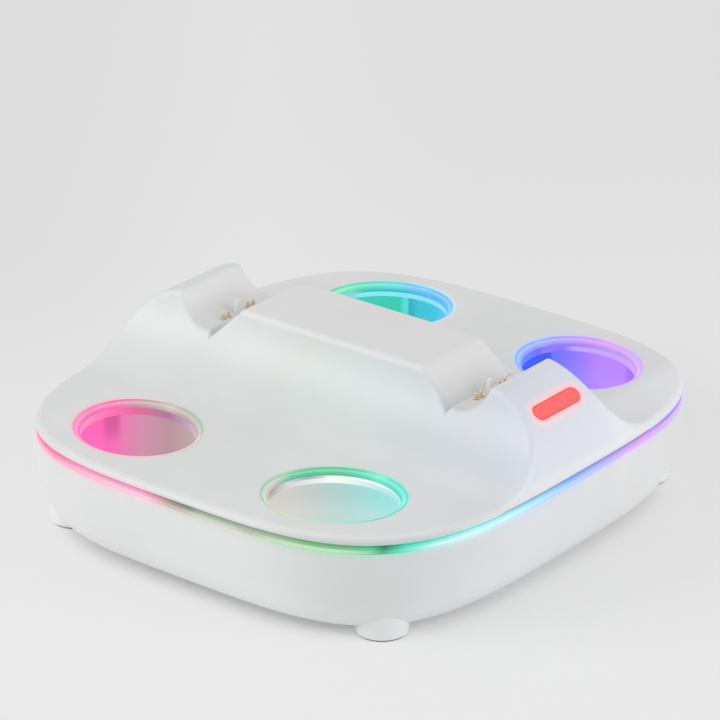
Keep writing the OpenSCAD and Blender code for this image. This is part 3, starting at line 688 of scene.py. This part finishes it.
def newGroup(name, inputs, outputs):
    group = bpy.data.node_groups.new(name, "ShaderNodeTree")
    for label, value in inputs:
        group.interface.new_socket(name=label, in_out="INPUT", socket_type="NodeSocketFloat").default_value = value
    for label in outputs:
        group.interface.new_socket(name=label, in_out="OUTPUT", socket_type="NodeSocketFloat")
    entry = group.nodes.new("NodeGroupInput")
    leave = group.nodes.new("NodeGroupOutput")
    return group, entry.outputs, leave.inputs


def useGroup(tree, group, **values):
    node = tree.nodes.new("ShaderNodeGroup")
    node.node_tree = group
    for key, value in values.items():
        node.inputs[key.replace("_", " ")].default_value = value
    return node.outputs


# Place on the dock in millimetres, and along the rainbow that runs from front left to back right
placeGroup, _, placeOut = newGroup("dockPlace", [], ["X", "Y", "Z", "Along"])
coords = addNode(placeGroup, "ShaderNodeTexCoord").outputs["Object"]
split = addNode(placeGroup, "ShaderNodeSeparateXYZ", {0: coords}).outputs
placeX, placeY, placeZ = (times(placeGroup, split[k], 1 / mm) for k in range(3))
along = addNode(placeGroup, "ShaderNodeMapRange", {
    "Value": onAxis(placeGroup, placeX, placeY, alongAxis), "From Min": -rainbowReach, "From Max": rainbowReach,
}).outputs[0]
for value, socket in zip((placeX, placeY, placeZ, along), placeOut):
    placeGroup.links.new(value, socket)


# Share of the rainbow's length at a place along it in millimetres
def alongAt(spot):
    return (spot + rainbowReach) / (2 * rainbowReach)


# One at a spot along the rainbow, fading out over its width in millimetres
def markAt(tree, place, spot, width):
    half = width / (2 * rainbowReach)
    return ease(tree, absolute(tree, calc(tree, "SUBTRACT", place["Along"], alongAt(spot))), half, half / 3)


# Distance in millimetres from the nearest well's edge, outwards
wellGroup, _, wellOut = newGroup("wellDistance", [], ["Distance"])
place = useGroup(wellGroup, placeGroup)
turnCos, turnSin = math.cos(math.radians(dock["wellTurn"])), math.sin(math.radians(dock["wellTurn"]))
offX = calc(wellGroup, "SUBTRACT", absolute(wellGroup, place["X"]), dock["wellX"])
offY = calc(wellGroup, "SUBTRACT", absolute(wellGroup, place["Y"]), dock["wellY"])
shares = []
for axis, radius in (((turnCos, -turnSin), dock["wellA"]), ((turnSin, turnCos), dock["wellB"])):
    part = calc(wellGroup, "DIVIDE", onAxis(wellGroup, offX, offY, axis), radius)
    shares.append(calc(wellGroup, "POWER", absolute(wellGroup, part), 2.0))
share = calc(wellGroup, "SQRT", calc(wellGroup, "ADD", *shares))
middleRadius = (dock["wellA"] + dock["wellB"]) / 2
wellGroup.links.new(times(wellGroup, calc(wellGroup, "SUBTRACT", share, 1.0), middleRadius), wellOut["Distance"])

# Distance in millimetres from the edge of the nearest indicator lens
lensGroup, _, lensOut = newGroup("lensDistance", [], ["Distance"])
place = useGroup(lensGroup, placeGroup)
lensCentre = lensRoot + 24.0 * lensUp
reach = (shell["lensLength"] - shell["lensWidth"]) / 2
offX = calc(lensGroup, "SUBTRACT", absolute(lensGroup, place["X"]), float(lensCentre[0]))
offY = calc(lensGroup, "MAXIMUM", calc(lensGroup, "SUBTRACT", absolute(lensGroup, place["Y"]), reach), 0.0)
offZ = calc(lensGroup, "SUBTRACT", place["Z"], float(lensCentre[2]))
total = 0.0
for part in (offX, offY, offZ):
    total = calc(lensGroup, "MULTIPLY_ADD", part, part, total)
lensGroup.links.new(calc(lensGroup, "SUBTRACT", calc(lensGroup, "SQRT", total), shell["lensWidth"] / 2),
                    lensOut["Distance"])

# Fine texture of moulded plastic: height for a bump, a slow tone and a roughness change
grainGroup, grainIn, grainOut = newGroup(
    "mouldGrain", [("Grain Scale", 2200.0), ("Tone Scale", 30.0)], ["Height", "Tone", "Wear"])
coords = addNode(grainGroup, "ShaderNodeTexCoord").outputs["Object"]
for label, scale, detail in (
        ("Height", grainIn["Grain Scale"], 2.0), ("Tone", grainIn["Tone Scale"], 3.0), ("Wear", 160.0, 4.0)):
    noise = addNode(grainGroup, "ShaderNodeTexNoise", {"Vector": coords, "Scale": scale, "Detail": detail})
    grainGroup.links.new(noise.outputs[0], grainOut[label])


def newMaterial(name):
    material = bpy.data.materials.new(name)
    material.use_nodes = True
    tree = material.node_tree
    tree.nodes.clear()
    shader = addNode(tree, "ShaderNodeBsdfPrincipled")
    output = addNode(tree, "ShaderNodeOutputMaterial", {"Surface": shader.outputs[0]})
    output.is_active_output = True
    return material, tree, shader


# Sets or links the shader's sockets, with the grain's bump and its change of roughness
def feed(tree, shader, grain, bumpSize, roughness, **values):
    bump = addNode(tree, "ShaderNodeBump", {"Height": grain["Height"], "Strength": bumpSize, "Distance": 0.0001})
    rough = addNode(tree, "ShaderNodeMapRange", {
        "Value": grain["Wear"], "To Min": roughness[0], "To Max": roughness[1],
    })
    values.update(Roughness=rough.outputs[0], Normal=bump.outputs[0])
    for key, value in values.items():
        socket = shader.inputs[key.replace("_", " ")]
        if isinstance(value, bpy.types.NodeSocket):
            tree.links.new(value, socket)
        else:
            socket.default_value = value


# Colours of the lights, and of what they throw on the plastic beside them
lights = {
    "coral": (248, 98, 148), "pink": (255, 110, 185), "hotPink": (250, 85, 185), "softPink": (250, 150, 195),
    "blush": (250, 200, 212), "rose": (225, 110, 160), "mauve": (205, 150, 175), "plum": (158, 125, 158),
    "lilac": (188, 178, 205), "clay": (172, 145, 150), "khaki": (150, 138, 125), "moss": (118, 142, 124),
    "stone": (170, 168, 156), "sand": (190, 177, 165), "pearl": (203, 194, 190), "bone": (232, 220, 205),
    "silver": (212, 210, 214), "steel": (170, 170, 182), "white": (248, 252, 252), "cream": (202, 228, 190),
    "sage": (152, 176, 150), "leaf": (118, 180, 130), "fern": (78, 170, 120), "lime": (180, 225, 178),
    "mint": (145, 215, 172), "spring": (112, 240, 182), "green": (78, 196, 148), "pine": (40, 132, 98), "teal": (36, 203, 174),
    "aqua": (75, 226, 192), "lagoon": (84, 222, 218), "mist": (145, 213, 210), "glacier": (148, 235, 252), "ice": (165, 235, 243),
    "frost": (210, 239, 240), "petrol": (38, 165, 188), "cyan": (50, 190, 215), "sky": (88, 190, 252),
    "paleSky": (142, 216, 250), "powder": (178, 206, 250), "azure": (125, 178, 255), "marine": (92, 148, 255), "cobalt": (4, 78, 224),
    "indigo": (100, 113, 252), "iris": (142, 126, 252), "periwinkle": (168, 158, 250), "lavender": (190, 178, 250),
    "royal": (165, 110, 248), "purple": (196, 136, 250), "amethyst": (195, 152, 244), "violet": (215, 145, 248),
    "orchid": (214, 178, 252), "lilacPink": (228, 165, 248),
    "clearTint": (252, 255, 254), "greenTint": (247, 255, 251), "blueTint": (241, 245, 255),
}


# A run of light names its colours, each with the places in millimetres from the middle where it shows
def lightRun(tree, place, run, middle=0.0):
    stops = []
    for part in run.split(", "):
        name, *spots = part.split()
        stops += [(alongAt(middle + float(spot)), shade(*lights[name])) for spot in spots]
    return ramp(tree, place["Along"], stops)


# White moulded plastic, tinted by the coloured light on its slopes, and lit beside the strip, rims and lenses
plastic = {
    "color": (227, 227, 227), "roughness": (0.37, 0.49), "grain": 0.05, "slowTone": 0.965,
    "beside": "coral -91 -72, softPink -60, khaki -49, sage -36, leaf -20, green -6, teal 11, ice 29, sky 48, "
              "periwinkle 68, violet 75, iris 85",
    "tints": "clearTint -72, greenTint -9, blueTint 39 79",
    "plateau": {"X": (60.0, 54.0), "Y": (13.6, 12.8), "Z": (36.0, 44.0)},
    # lipShade and corner are shares of painted shade on the lip and round the front corner
    "lipShade": 0.06, "corner": 0.06, "cornerLipShade": 0.05, "cornerShadeSpot": (6.6, 40.0),
    "wellFade": -2.2, "wellGlow": 0.5, "stripFade": -1.3, "stripGlow": 0.4,
    "lensBase": (250, 198, 198), "lensGlow": (255, 120, 120), "lensReach": (2.9, 0.3),
    # shoulder is a painted bluish glow on the right shoulder, bounce is painted bounce light on the base, stronger
    # towards the bottom
    "shoulder": (0.05, 0.05, 0.06, 1.0), "bounce": (0.07, 0.07, 0.07, 1.0),
}


def plasticMaterial(name, values):
    material, tree, shader = newMaterial(name)
    place = useGroup(tree, placeGroup)
    grain = useGroup(tree, grainGroup)
    color = shade(*values["color"])
    darker = tuple(c * values["slowTone"] for c in color[:3]) + (1.0,)
    tone = mixColor(tree, ease(tree, grain["Tone"], 0.35, 0.65), darker, color)
    light = lightRun(tree, place, values["beside"])

    onPlateau = times(tree, ease(tree, absolute(tree, place["Y"]), *values["plateau"]["Y"]),
                      ease(tree, absolute(tree, place["X"]), *values["plateau"]["X"]),
                      ease(tree, place["Z"], *values["plateau"]["Z"]))
    slopes = times(tree, calc(tree, "MULTIPLY_ADD", ease(tree, place["Z"], 33.0, 36.0), 0.6, 0.4),
                   calc(tree, "SUBTRACT", 1.0, onPlateau),
                   calc(tree, "MULTIPLY_ADD", ease(tree, place["Y"], 20.0, 12.0), 0.75, 0.25))
    tone = mixColor(tree, slopes, tone, lightRun(tree, place, values["tints"]), "MULTIPLY")

    # painted shade on the lip, except on its right part, and painted shade on the lip and the base wall round the
    # front corner
    lip = times(tree, ease(tree, place["Z"], 32.4, 31.2), ease(tree, place["Z"], 30.4, 30.6))
    lipShade = times(tree, ease(tree, place["Along"], alongAt(33.6), alongAt(19.4)), lip, values["lipShade"])
    corner = times(tree, markAt(tree, place, *values["cornerShadeSpot"]), ease(tree, place["Z"], 32.5, 31.8),
                   calc(tree, "MULTIPLY_ADD", lip, values["cornerLipShade"], values["corner"]))
    tone = mixColor(tree, calc(tree, "ADD", lipShade, corner), tone, (0, 0, 0, 1))

    # light beside the wells, above and below the strip, and round a lens
    wellGap = calc(tree, "MAXIMUM", useGroup(tree, wellGroup)["Distance"], 0.0)
    nearWell = times(tree, calc(tree, "POWER", math.e, times(tree, wellGap, values["wellFade"])),
                     ease(tree, place["Z"], 31.2, 32.0), ease(tree, place["Z"], 33.4, 33.0))
    below = calc(tree, "MAXIMUM", calc(tree, "SUBTRACT", dock["stripBottom"], place["Z"]), 0.0)
    above = calc(tree, "MAXIMUM", calc(tree, "SUBTRACT", place["Z"], dock["stripTop"]), 0.0)
    stripGap = calc(tree, "MULTIPLY_ADD", above, 3.0, below)
    nearStrip = calc(tree, "POWER", math.e, times(tree, stripGap, values["stripFade"]))
    nearLens = ease(tree, useGroup(tree, lensGroup)["Distance"], *values["lensReach"])
    # painted light: where a faint bluish glow is added on the right shoulder
    shoulderGlowMask = times(tree, ease(tree, place["X"], 54.0, 61.0), ease(tree, place["Z"], 30.6, 32.0),
                       ease(tree, place["Along"], alongAt(33.6), alongAt(50.7)))

    glow = calc(tree, "ADD", times(tree, nearWell, values["wellGlow"]), times(tree, nearStrip, values["stripGlow"]),
                clamp=True)
    base = mixColor(tree, nearLens, mixColor(tree, glow, tone, light), shade(*values["lensBase"]))
    lightColor = mixColor(tree, nearLens, light, shade(*values["lensGlow"]))
    strength = calc(tree, "ADD", times(tree, glow, 0.5), times(tree, nearLens, 0.1))
    emission = mixColor(tree, strength, (0, 0, 0, 1), lightColor)
    # painted light: faint bluish glow on the right shoulder
    emission = mixColor(tree, shoulderGlowMask, emission, values["shoulder"], "ADD")
    # painted bounce light on the base, stronger towards the bottom
    emission = mixColor(tree, ease(tree, place["Z"], 19.0, 5.0), emission, values["bounce"], "ADD")
    feed(tree, shader, grain, values["grain"], values["roughness"], Base_Color=base,
         Emission_Color=emission, Emission_Strength=1.0)
    return material


def dress(piece, material):
    piece.data.materials.append(material)


shellMaterial = plasticMaterial("shellPlastic", plastic)
for piece in (topShell, baseShell):
    dress(piece, shellMaterial)
for piece in pegs:
    dress(piece, shellMaterial)


# Lit translucent pieces: body is the share of the colour that reflects, glow the share that shines
def litMaterial(name, paint, values):
    material, tree, shader = newMaterial(name)
    place = useGroup(tree, placeGroup)
    grain = useGroup(tree, grainGroup, Grain_Scale=900.0, Tone_Scale=60.0)
    light = mixColor(tree, times(tree, grain["Tone"], values["milk"]), paint(tree, place), (1, 1, 1, 1))
    roughness = (values["roughness"] * 0.9, values["roughness"] * 1.15)
    feed(tree, shader, grain, 0.04, roughness, Base_Color=mixColor(tree, values["body"], (0, 0, 0, 1), light),
         Emission_Color=light, Emission_Strength=values["glow"])
    return material


# The strip has an upper and a lower run of light, a painted shadow line under the lip, and a pale yellow lower edge
stripLight = {
    "roughness": 0.3, "glow": 0.62, "body": 0.45, "milk": 0.02,
    "upper": "coral -88, softPink -77 -60, khaki -51, moss -47, sage -44 -20, leaf -16 -4, green 2, pine 5.5, "
             "aqua 12, ice 29 40, paleSky 48, azure 57, periwinkle 68, amethyst 79, iris 91",
    "lower": "softPink -88, blush -68 -60, sand -53 -49, pearl -45 -36, sand -31, lime -21 -5, mint 1, fern 5, "
             "aqua 10, frost 20 38, powder 56, lavender 68, lilacPink 79",
    "yellow": (238, 230, 196), "yellowShare": 0.7, "yellowSpot": (-30.4, 28.0),
    # line and its share: painted shadow of the lip on the strip's top
    "line": (175, 175, 170), "lipShadowShare": 0.45,
}


def stripPaint(tree, place):
    upper, lower = (lightRun(tree, place, stripLight[key]) for key in ("upper", "lower"))
    light = mixColor(tree, ease(tree, place["Z"], 29.25, 28.85), upper, lower)
    yellow = times(tree, ease(tree, place["Z"], 28.35, 28.1), markAt(tree, place, *stripLight["yellowSpot"]),
                   stripLight["yellowShare"])
    light = mixColor(tree, yellow, light, shade(*stripLight["yellow"]))
    # painted shadow of the lip along the strip's top, except at its far left end
    line = times(tree, ease(tree, place["Z"], 29.7, 29.9), ease(tree, place["Along"], alongAt(-88.7), alongAt(-83.0)),
                 stripLight["lipShadowShare"])
    return mixColor(tree, line, light, shade(*stripLight["line"]), "MULTIPLY")


dress(lightStrip, litMaterial("litStrip", stripPaint, stripLight))

# Light of each well: outer line, the line's front side, sloped band, upright band and its foot, and cup; some upright
# and foot colours are painted highlights and reflections
wellLight = {
    "front_left": {
        "line": "softPink -20, rose -8, sage 7, mint 18",
        "near": "softPink -20, bone 18",
        "slope": "pink -19 -7, mauve -2, sand 4 18",
        "upright": "softPink -17, pink -7, rose -1, plum 8, lilac 16",
        "cup": "hotPink -17 -9, mauve 0, clay 8, stone 16",
        "pale": 0.05,
    },
    "front_right": {
        "line": "mint -21, green 1, aqua 13, lagoon 22",
        "near": "lime -21, cream -10 1, green 11, aqua 21",
        "slope": "pearl -21 -16, green -12 3, aqua 11, lagoon 21",
        # white and silver in the front right upright band and its foot: painted reflection on the glossy band
        "upright": "khaki -17, silver -13, steel -7, silver -3, white -2 12, mist 19",
        "foot": "stone -17, silver -13, white -2 2, mist 19",
        "cup": "pearl -19 -11, mist 11",
        "pale": 0.22,
    },
    "back_left": {
        "line": "green -16, lagoon 3, sky 12, azure 18",
        "slope": "spring -15, aqua -8, lagoon 2, sky 10 18",
        "upright": "mist -11, teal -7, cyan 6, sky 15",
        "foot": "mist -10.5, glacier -8 4, powder 30",
        "cup": "teal -9 4.3, lagoon 5.4 6.3, petrol 7, cyan 10 14, sky 20",
        "pale": 0.03,
    },
    "back_right": {
        "line": "azure -19, periwinkle -5, violet 9, orchid 17",
        "near": "azure -19, periwinkle -11, orchid -1 17",
        "slope": "azure -19, periwinkle -4, violet 5, orchid 30",
        "upright": "marine -17, indigo -11, iris -9 -4, orchid 15",
        "foot": "marine -17, indigo -11, iris -9 -3, orchid 0 15",
        "cup": "cobalt -17 -7.5, indigo -6.4, iris 0, purple 7 14, royal 15",
        "pale": 0.08,
    },
}
rimLight = {
    "roughness": 0.2, "glow": 0.62, "body": 0.42, "milk": 0.05,
    # bright is the share of a painted highlight on the sloped band
    "bright": 0.2, "seam": 0.25, "bendDarkColor": (150, 140, 160),
}
cupLight = {"roughness": 0.5, "glow": 0.62, "body": 0.5, "milk": 0.08}
cupPatch = {"well": "front_left", "spot": -8.3, "width": 3.2, "color": (196, 66, 142), "share": 0.8}


def rimPaint(wellName, middle, runs):
    side = wellSides[wellName]
    awayMiddle = side[0] * dock["wellX"] * awayAxis[0] + side[1] * dock["wellY"] * awayAxis[1]

    def paint(tree, place):
        upright = lightRun(tree, place, runs["upright"], middle)
        # the foot is partly the light's own colour and partly a painted highlight on the upright band's glossy lower
        # edge
        if "foot" in runs:
            foot = lightRun(tree, place, runs["foot"], middle)
            upright = mixColor(tree, ease(tree, place["Z"], 30.1, 29.8), upright, foot)
        slope = lightRun(tree, place, runs["slope"], middle)
        # painted highlight: a white line across the middle of the sloped band
        bright = times(tree, ease(tree, place["Z"], 31.4, 31.8), ease(tree, place["Z"], 32.2, 31.9),
                       rimLight["bright"])
        slope = mixColor(tree, bright, slope, (1, 1, 1, 1))
        # darker band on the slope's lower part, where it bends into the upright band
        seam = times(tree, ease(tree, place["Z"], 31.3, 30.9), rimLight["seam"])
        slope = mixColor(tree, seam, slope, shade(*rimLight["bendDarkColor"]), "MULTIPLY")
        light = mixColor(tree, ease(tree, place["Z"], 30.66, 30.8), upright, slope)
        line = lightRun(tree, place, runs["line"], middle)
        if "near" in runs:
            away = onAxis(tree, place["X"], place["Y"], awayAxis)
            near = lightRun(tree, place, runs["near"], middle)
            line = mixColor(tree, ease(tree, away, awayMiddle - 3.0, awayMiddle - 8.0), line, near)
        return mixColor(tree, ease(tree, place["Z"], 32.2, 32.35), light, line)
    return paint


# A cup grows paler downwards, and one has a darker patch near its top
def cupPaint(wellName, middle, runs):
    def paint(tree, place):
        light = lightRun(tree, place, runs["cup"], middle)
        if wellName == cupPatch["well"]:
            patch = times(tree, markAt(tree, place, middle + cupPatch["spot"], cupPatch["width"]),
                          ease(tree, place["Z"], 18.0, 26.0), cupPatch["share"])
            light = mixColor(tree, patch, light, shade(*cupPatch["color"]))
        return mixColor(tree, times(tree, ease(tree, place["Z"], 27.0, 18.0), runs["pale"]), light, (1, 1, 1, 1))
    return paint


for wellName, runs in wellLight.items():
    pieceName = "".join(word.capitalize() for word in wellName.split("_"))
    side = wellSides[wellName]
    middle = side[0] * dock["wellX"] * alongAxis[0] + side[1] * dock["wellY"] * alongAxis[1]
    rimMaterial = litMaterial("litRim" + pieceName, rimPaint(wellName, middle, runs), rimLight)
    dress(wellRims[wellName], rimMaterial)
    cupMaterial = litMaterial("litCup" + pieceName, cupPaint(wellName, middle, runs), cupLight)
    dress(wellCups[wellName], cupMaterial)

lensLight = {
    "roughness": 0.35, "glow": 0.6, "body": 0.8, "milk": 0.0,
    "color": (245, 88, 88), "edge": (185, 62, 66), "edgeShare": 0.65,
}


def lensPaint(tree, place):
    edge = times(tree, ease(tree, useGroup(tree, lensGroup)["Distance"], -0.5, -0.12), lensLight["edgeShare"])
    return mixColor(tree, edge, shade(*lensLight["color"]), shade(*lensLight["edge"]))


lensMaterial = litMaterial("litLens", lensPaint, lensLight)
for piece in lensPieces.values():
    dress(piece, lensMaterial)


# Metals, boards, rubber and other plain stuff, each with its own grain
def plainMaterial(name, color, roughness, metallic=0.0, bumpSize=0.1, scale=900.0):
    material, tree, shader = newMaterial(name)
    grain = useGroup(tree, grainGroup, Grain_Scale=scale, Tone_Scale=scale / 12)
    dark = tuple(c * 0.82 for c in shade(*color)[:3]) + (1.0,)
    tone = mixColor(tree, ease(tree, grain["Tone"], 0.3, 0.7), dark, shade(*color))
    roughRange = (roughness * 0.85, min(roughness * 1.2, 1.0))
    feed(tree, shader, grain, bumpSize, roughRange, Base_Color=tone, Metallic=metallic)
    return material


goldMaterial = plainMaterial("contactGold", (240, 220, 186), 0.3, 1.0, 0.05)
for piece in plungers + barrels:
    dress(piece, goldMaterial)
slotMaterials = {
    "board_green": plainMaterial("boardGreen", (46, 104, 72), 0.4, 0.0, 0.15, 1500.0),
    "chip_black": plainMaterial("chipBlack", (38, 38, 42), 0.55, 0.0, 0.2, 1800.0),
    "socket_steel": plainMaterial("socketSteel", (188, 190, 194), 0.3, 1.0, 0.08, 1200.0),
    "screw_steel": plainMaterial("screwSteel", (180, 182, 186), 0.34, 1.0, 0.1, 1200.0),
    "pad_rubber": plainMaterial("padRubber", (52, 52, 55), 0.8, 0.0, 0.4, 1600.0),
    "flex_white": plainMaterial("flexWhite", (226, 226, 222), 0.45, 0.0, 0.1, 1600.0),
    "led_white": plainMaterial("ledWhite", (240, 240, 230), 0.35, 0.0, 0.1, 1600.0),
}
slotOf = {row["node"]: row["material_slot"] for row in frame["record"]["subparts"]}
for name, node in cadNodes.items():
    if slotOf[name] in slotMaterials and not node.hide_render:
        node.data.materials.clear()
        dress(node, slotMaterials[slotOf[name]])
print("materials built")


# Floor, lights and camera
stage = {
    "floor": (240, 240, 240), "far": (232, 232, 232), "size": 6.0, "world": 0.645,
    "paper": (234, 234, 234), "farPaper": (228, 228, 228), "sidePaper": (221, 221, 221),
    "lift": (0.86, 0.46), "nearLift": (0.11, 0.27), "nearDock": (0.87, 0.99), "grain": (0.03, 0.0002),
}
floorMesh = bpy.data.meshes.new("floor")
half = stage["size"] / 2
floorMesh.from_pydata([(-half, -half, 0), (half, -half, 0), (half, half, 0), (-half, half, 0)], [], [(0, 1, 2, 3)])
floor = bpy.data.objects.new("floor", floorMesh)
bpy.context.scene.collection.objects.link(floor)
floorMaterial, tree, shader = newMaterial("floorPaper")
coords = addNode(tree, "ShaderNodeTexCoord").outputs["Object"]
split = addNode(tree, "ShaderNodeSeparateXYZ", {0: coords}).outputs
away, along = (onAxis(tree, split[0], split[1], axis) for axis in (awayAxis, alongAxis))
isFar = ease(tree, away, -0.1, 0.35)
floorNoise = addNode(tree, "ShaderNodeTexNoise", {"Vector": coords, "Scale": 900.0, "Detail": 2.0})
floorBump = addNode(tree, "ShaderNodeBump", {
    "Height": floorNoise.outputs[0], "Strength": stage["grain"][0], "Distance": stage["grain"][1],
})
tree.links.new(mixColor(tree, isFar, shade(*stage["floor"]), shade(*stage["far"])), shader.inputs["Base Color"])
tree.links.new(floorBump.outputs[0], shader.inputs["Normal"])
shader.inputs["Roughness"].default_value = 0.6

# The floor as seen is lifted towards its paper tone, less so on the right and below the dock
paper = mixColor(tree, isFar, shade(*stage["paper"]), shade(*stage["farPaper"]))
aside = times(tree, ease(tree, along, -0.03, -0.12), ease(tree, away, 0.03, 0.2))
paper = mixColor(tree, aside, paper, shade(*stage["sidePaper"]))
outlineShares = [
    calc(tree, "POWER", absolute(tree, calc(tree, "DIVIDE", split[k], dock[key] * mm)), dock["power"])
    for k, key in enumerate(("halfLength", "halfDepth"))
]
under = calc(tree, "POWER", calc(tree, "ADD", *outlineShares), 1 / dock["power"])
onRight = ease(tree, along, -0.05, 0.05)
near, far = (calc(tree, "MULTIPLY_ADD", onRight, stage[key][1] - stage[key][0], stage[key][0])
             for key in ("nearLift", "lift"))
lift = calc(tree, "MULTIPLY_ADD", ease(tree, under, *stage["nearDock"]), calc(tree, "SUBTRACT", far, near), near)
rays = addNode(tree, "ShaderNodeLightPath").outputs
seen = calc(tree, "MAXIMUM", rays["Is Camera Ray"],
            calc(tree, "MAXIMUM", rays["Is Glossy Ray"], rays["Is Transmission Ray"]))
bright = addNode(tree, "ShaderNodeEmission", {"Color": paper, "Strength": 1.0})
mixed = addNode(tree, "ShaderNodeMixShader", {
    0: times(tree, seen, lift), 1: shader.outputs[0], 2: bright.outputs[0],
})
output = next(n for n in tree.nodes if n.type == "OUTPUT_MATERIAL")
tree.links.new(mixed.outputs[0], output.inputs["Surface"])
floorMesh.materials.append(floorMaterial)

world = bpy.data.worlds.new("studio")
bpy.context.scene.world = world
world.use_nodes = True
background = next(n for n in world.node_tree.nodes if n.type == "BACKGROUND")
background.inputs[0].default_value = (1.0, 1.0, 1.0, 1)
background.inputs[1].default_value = stage["world"]

lamps = {
    "leftLamp": {"place": (-1.1, -1.45, 0.85), "aim": (0, 0, 0.03), "size": 1.3, "watts": 15.6},
    "rightLamp": {"place": (1.75, 0.5, 0.85), "aim": (0, 0, 0.03), "size": 1.3, "watts": 13.8},
}
for name, values in lamps.items():
    data = bpy.data.lights.new(name, "AREA")
    data.shape = "DISK"
    data.size = values["size"]
    data.energy = values["watts"]
    lamp = bpy.data.objects.new(name, data)
    lamp.location = values["place"]
    lamp.rotation_euler = (Vector(values["aim"]) - lamp.location).to_track_quat("-Z", "Y").to_euler()
    bpy.context.scene.collection.objects.link(lamp)

view = {
    "azimuth": 38.96, "elevation": 23.72, "roll": -0.45, "distance": 1.119, "lens": 196.6,
    "side": 0.000512, "rise": -0.009647,
}
a, e, r = (math.radians(view[k]) for k in ("azimuth", "elevation", "roll"))
back = Vector((math.sin(a) * math.cos(e), -math.cos(a) * math.cos(e), math.sin(e)))
right = Vector((math.cos(a), math.sin(a), 0))
up = back.cross(right)
rightTurned = math.cos(r) * right + math.sin(r) * up
upTurned = -math.sin(r) * right + math.cos(r) * up
spot = Vector((0, 0, dock["deckZ"] * mm)) + view["distance"] * back
spot -= view["side"] * rightTurned + view["rise"] * upTurned
cameraData = bpy.data.cameras.new("camera")
cameraData.lens = view["lens"]
cameraData.sensor_width = 36.0
cameraData.clip_start, cameraData.clip_end = 0.05, 20.0
camera = bpy.data.objects.new("camera", cameraData)
turned = Matrix((rightTurned, upTurned, back)).transposed().to_4x4()
camera.matrix_world = Matrix.Translation(spot) @ turned
bpy.context.scene.collection.objects.link(camera)
bpy.context.scene.camera = camera
bpy.context.scene.view_settings.view_transform = "Standard"
print("stage built")
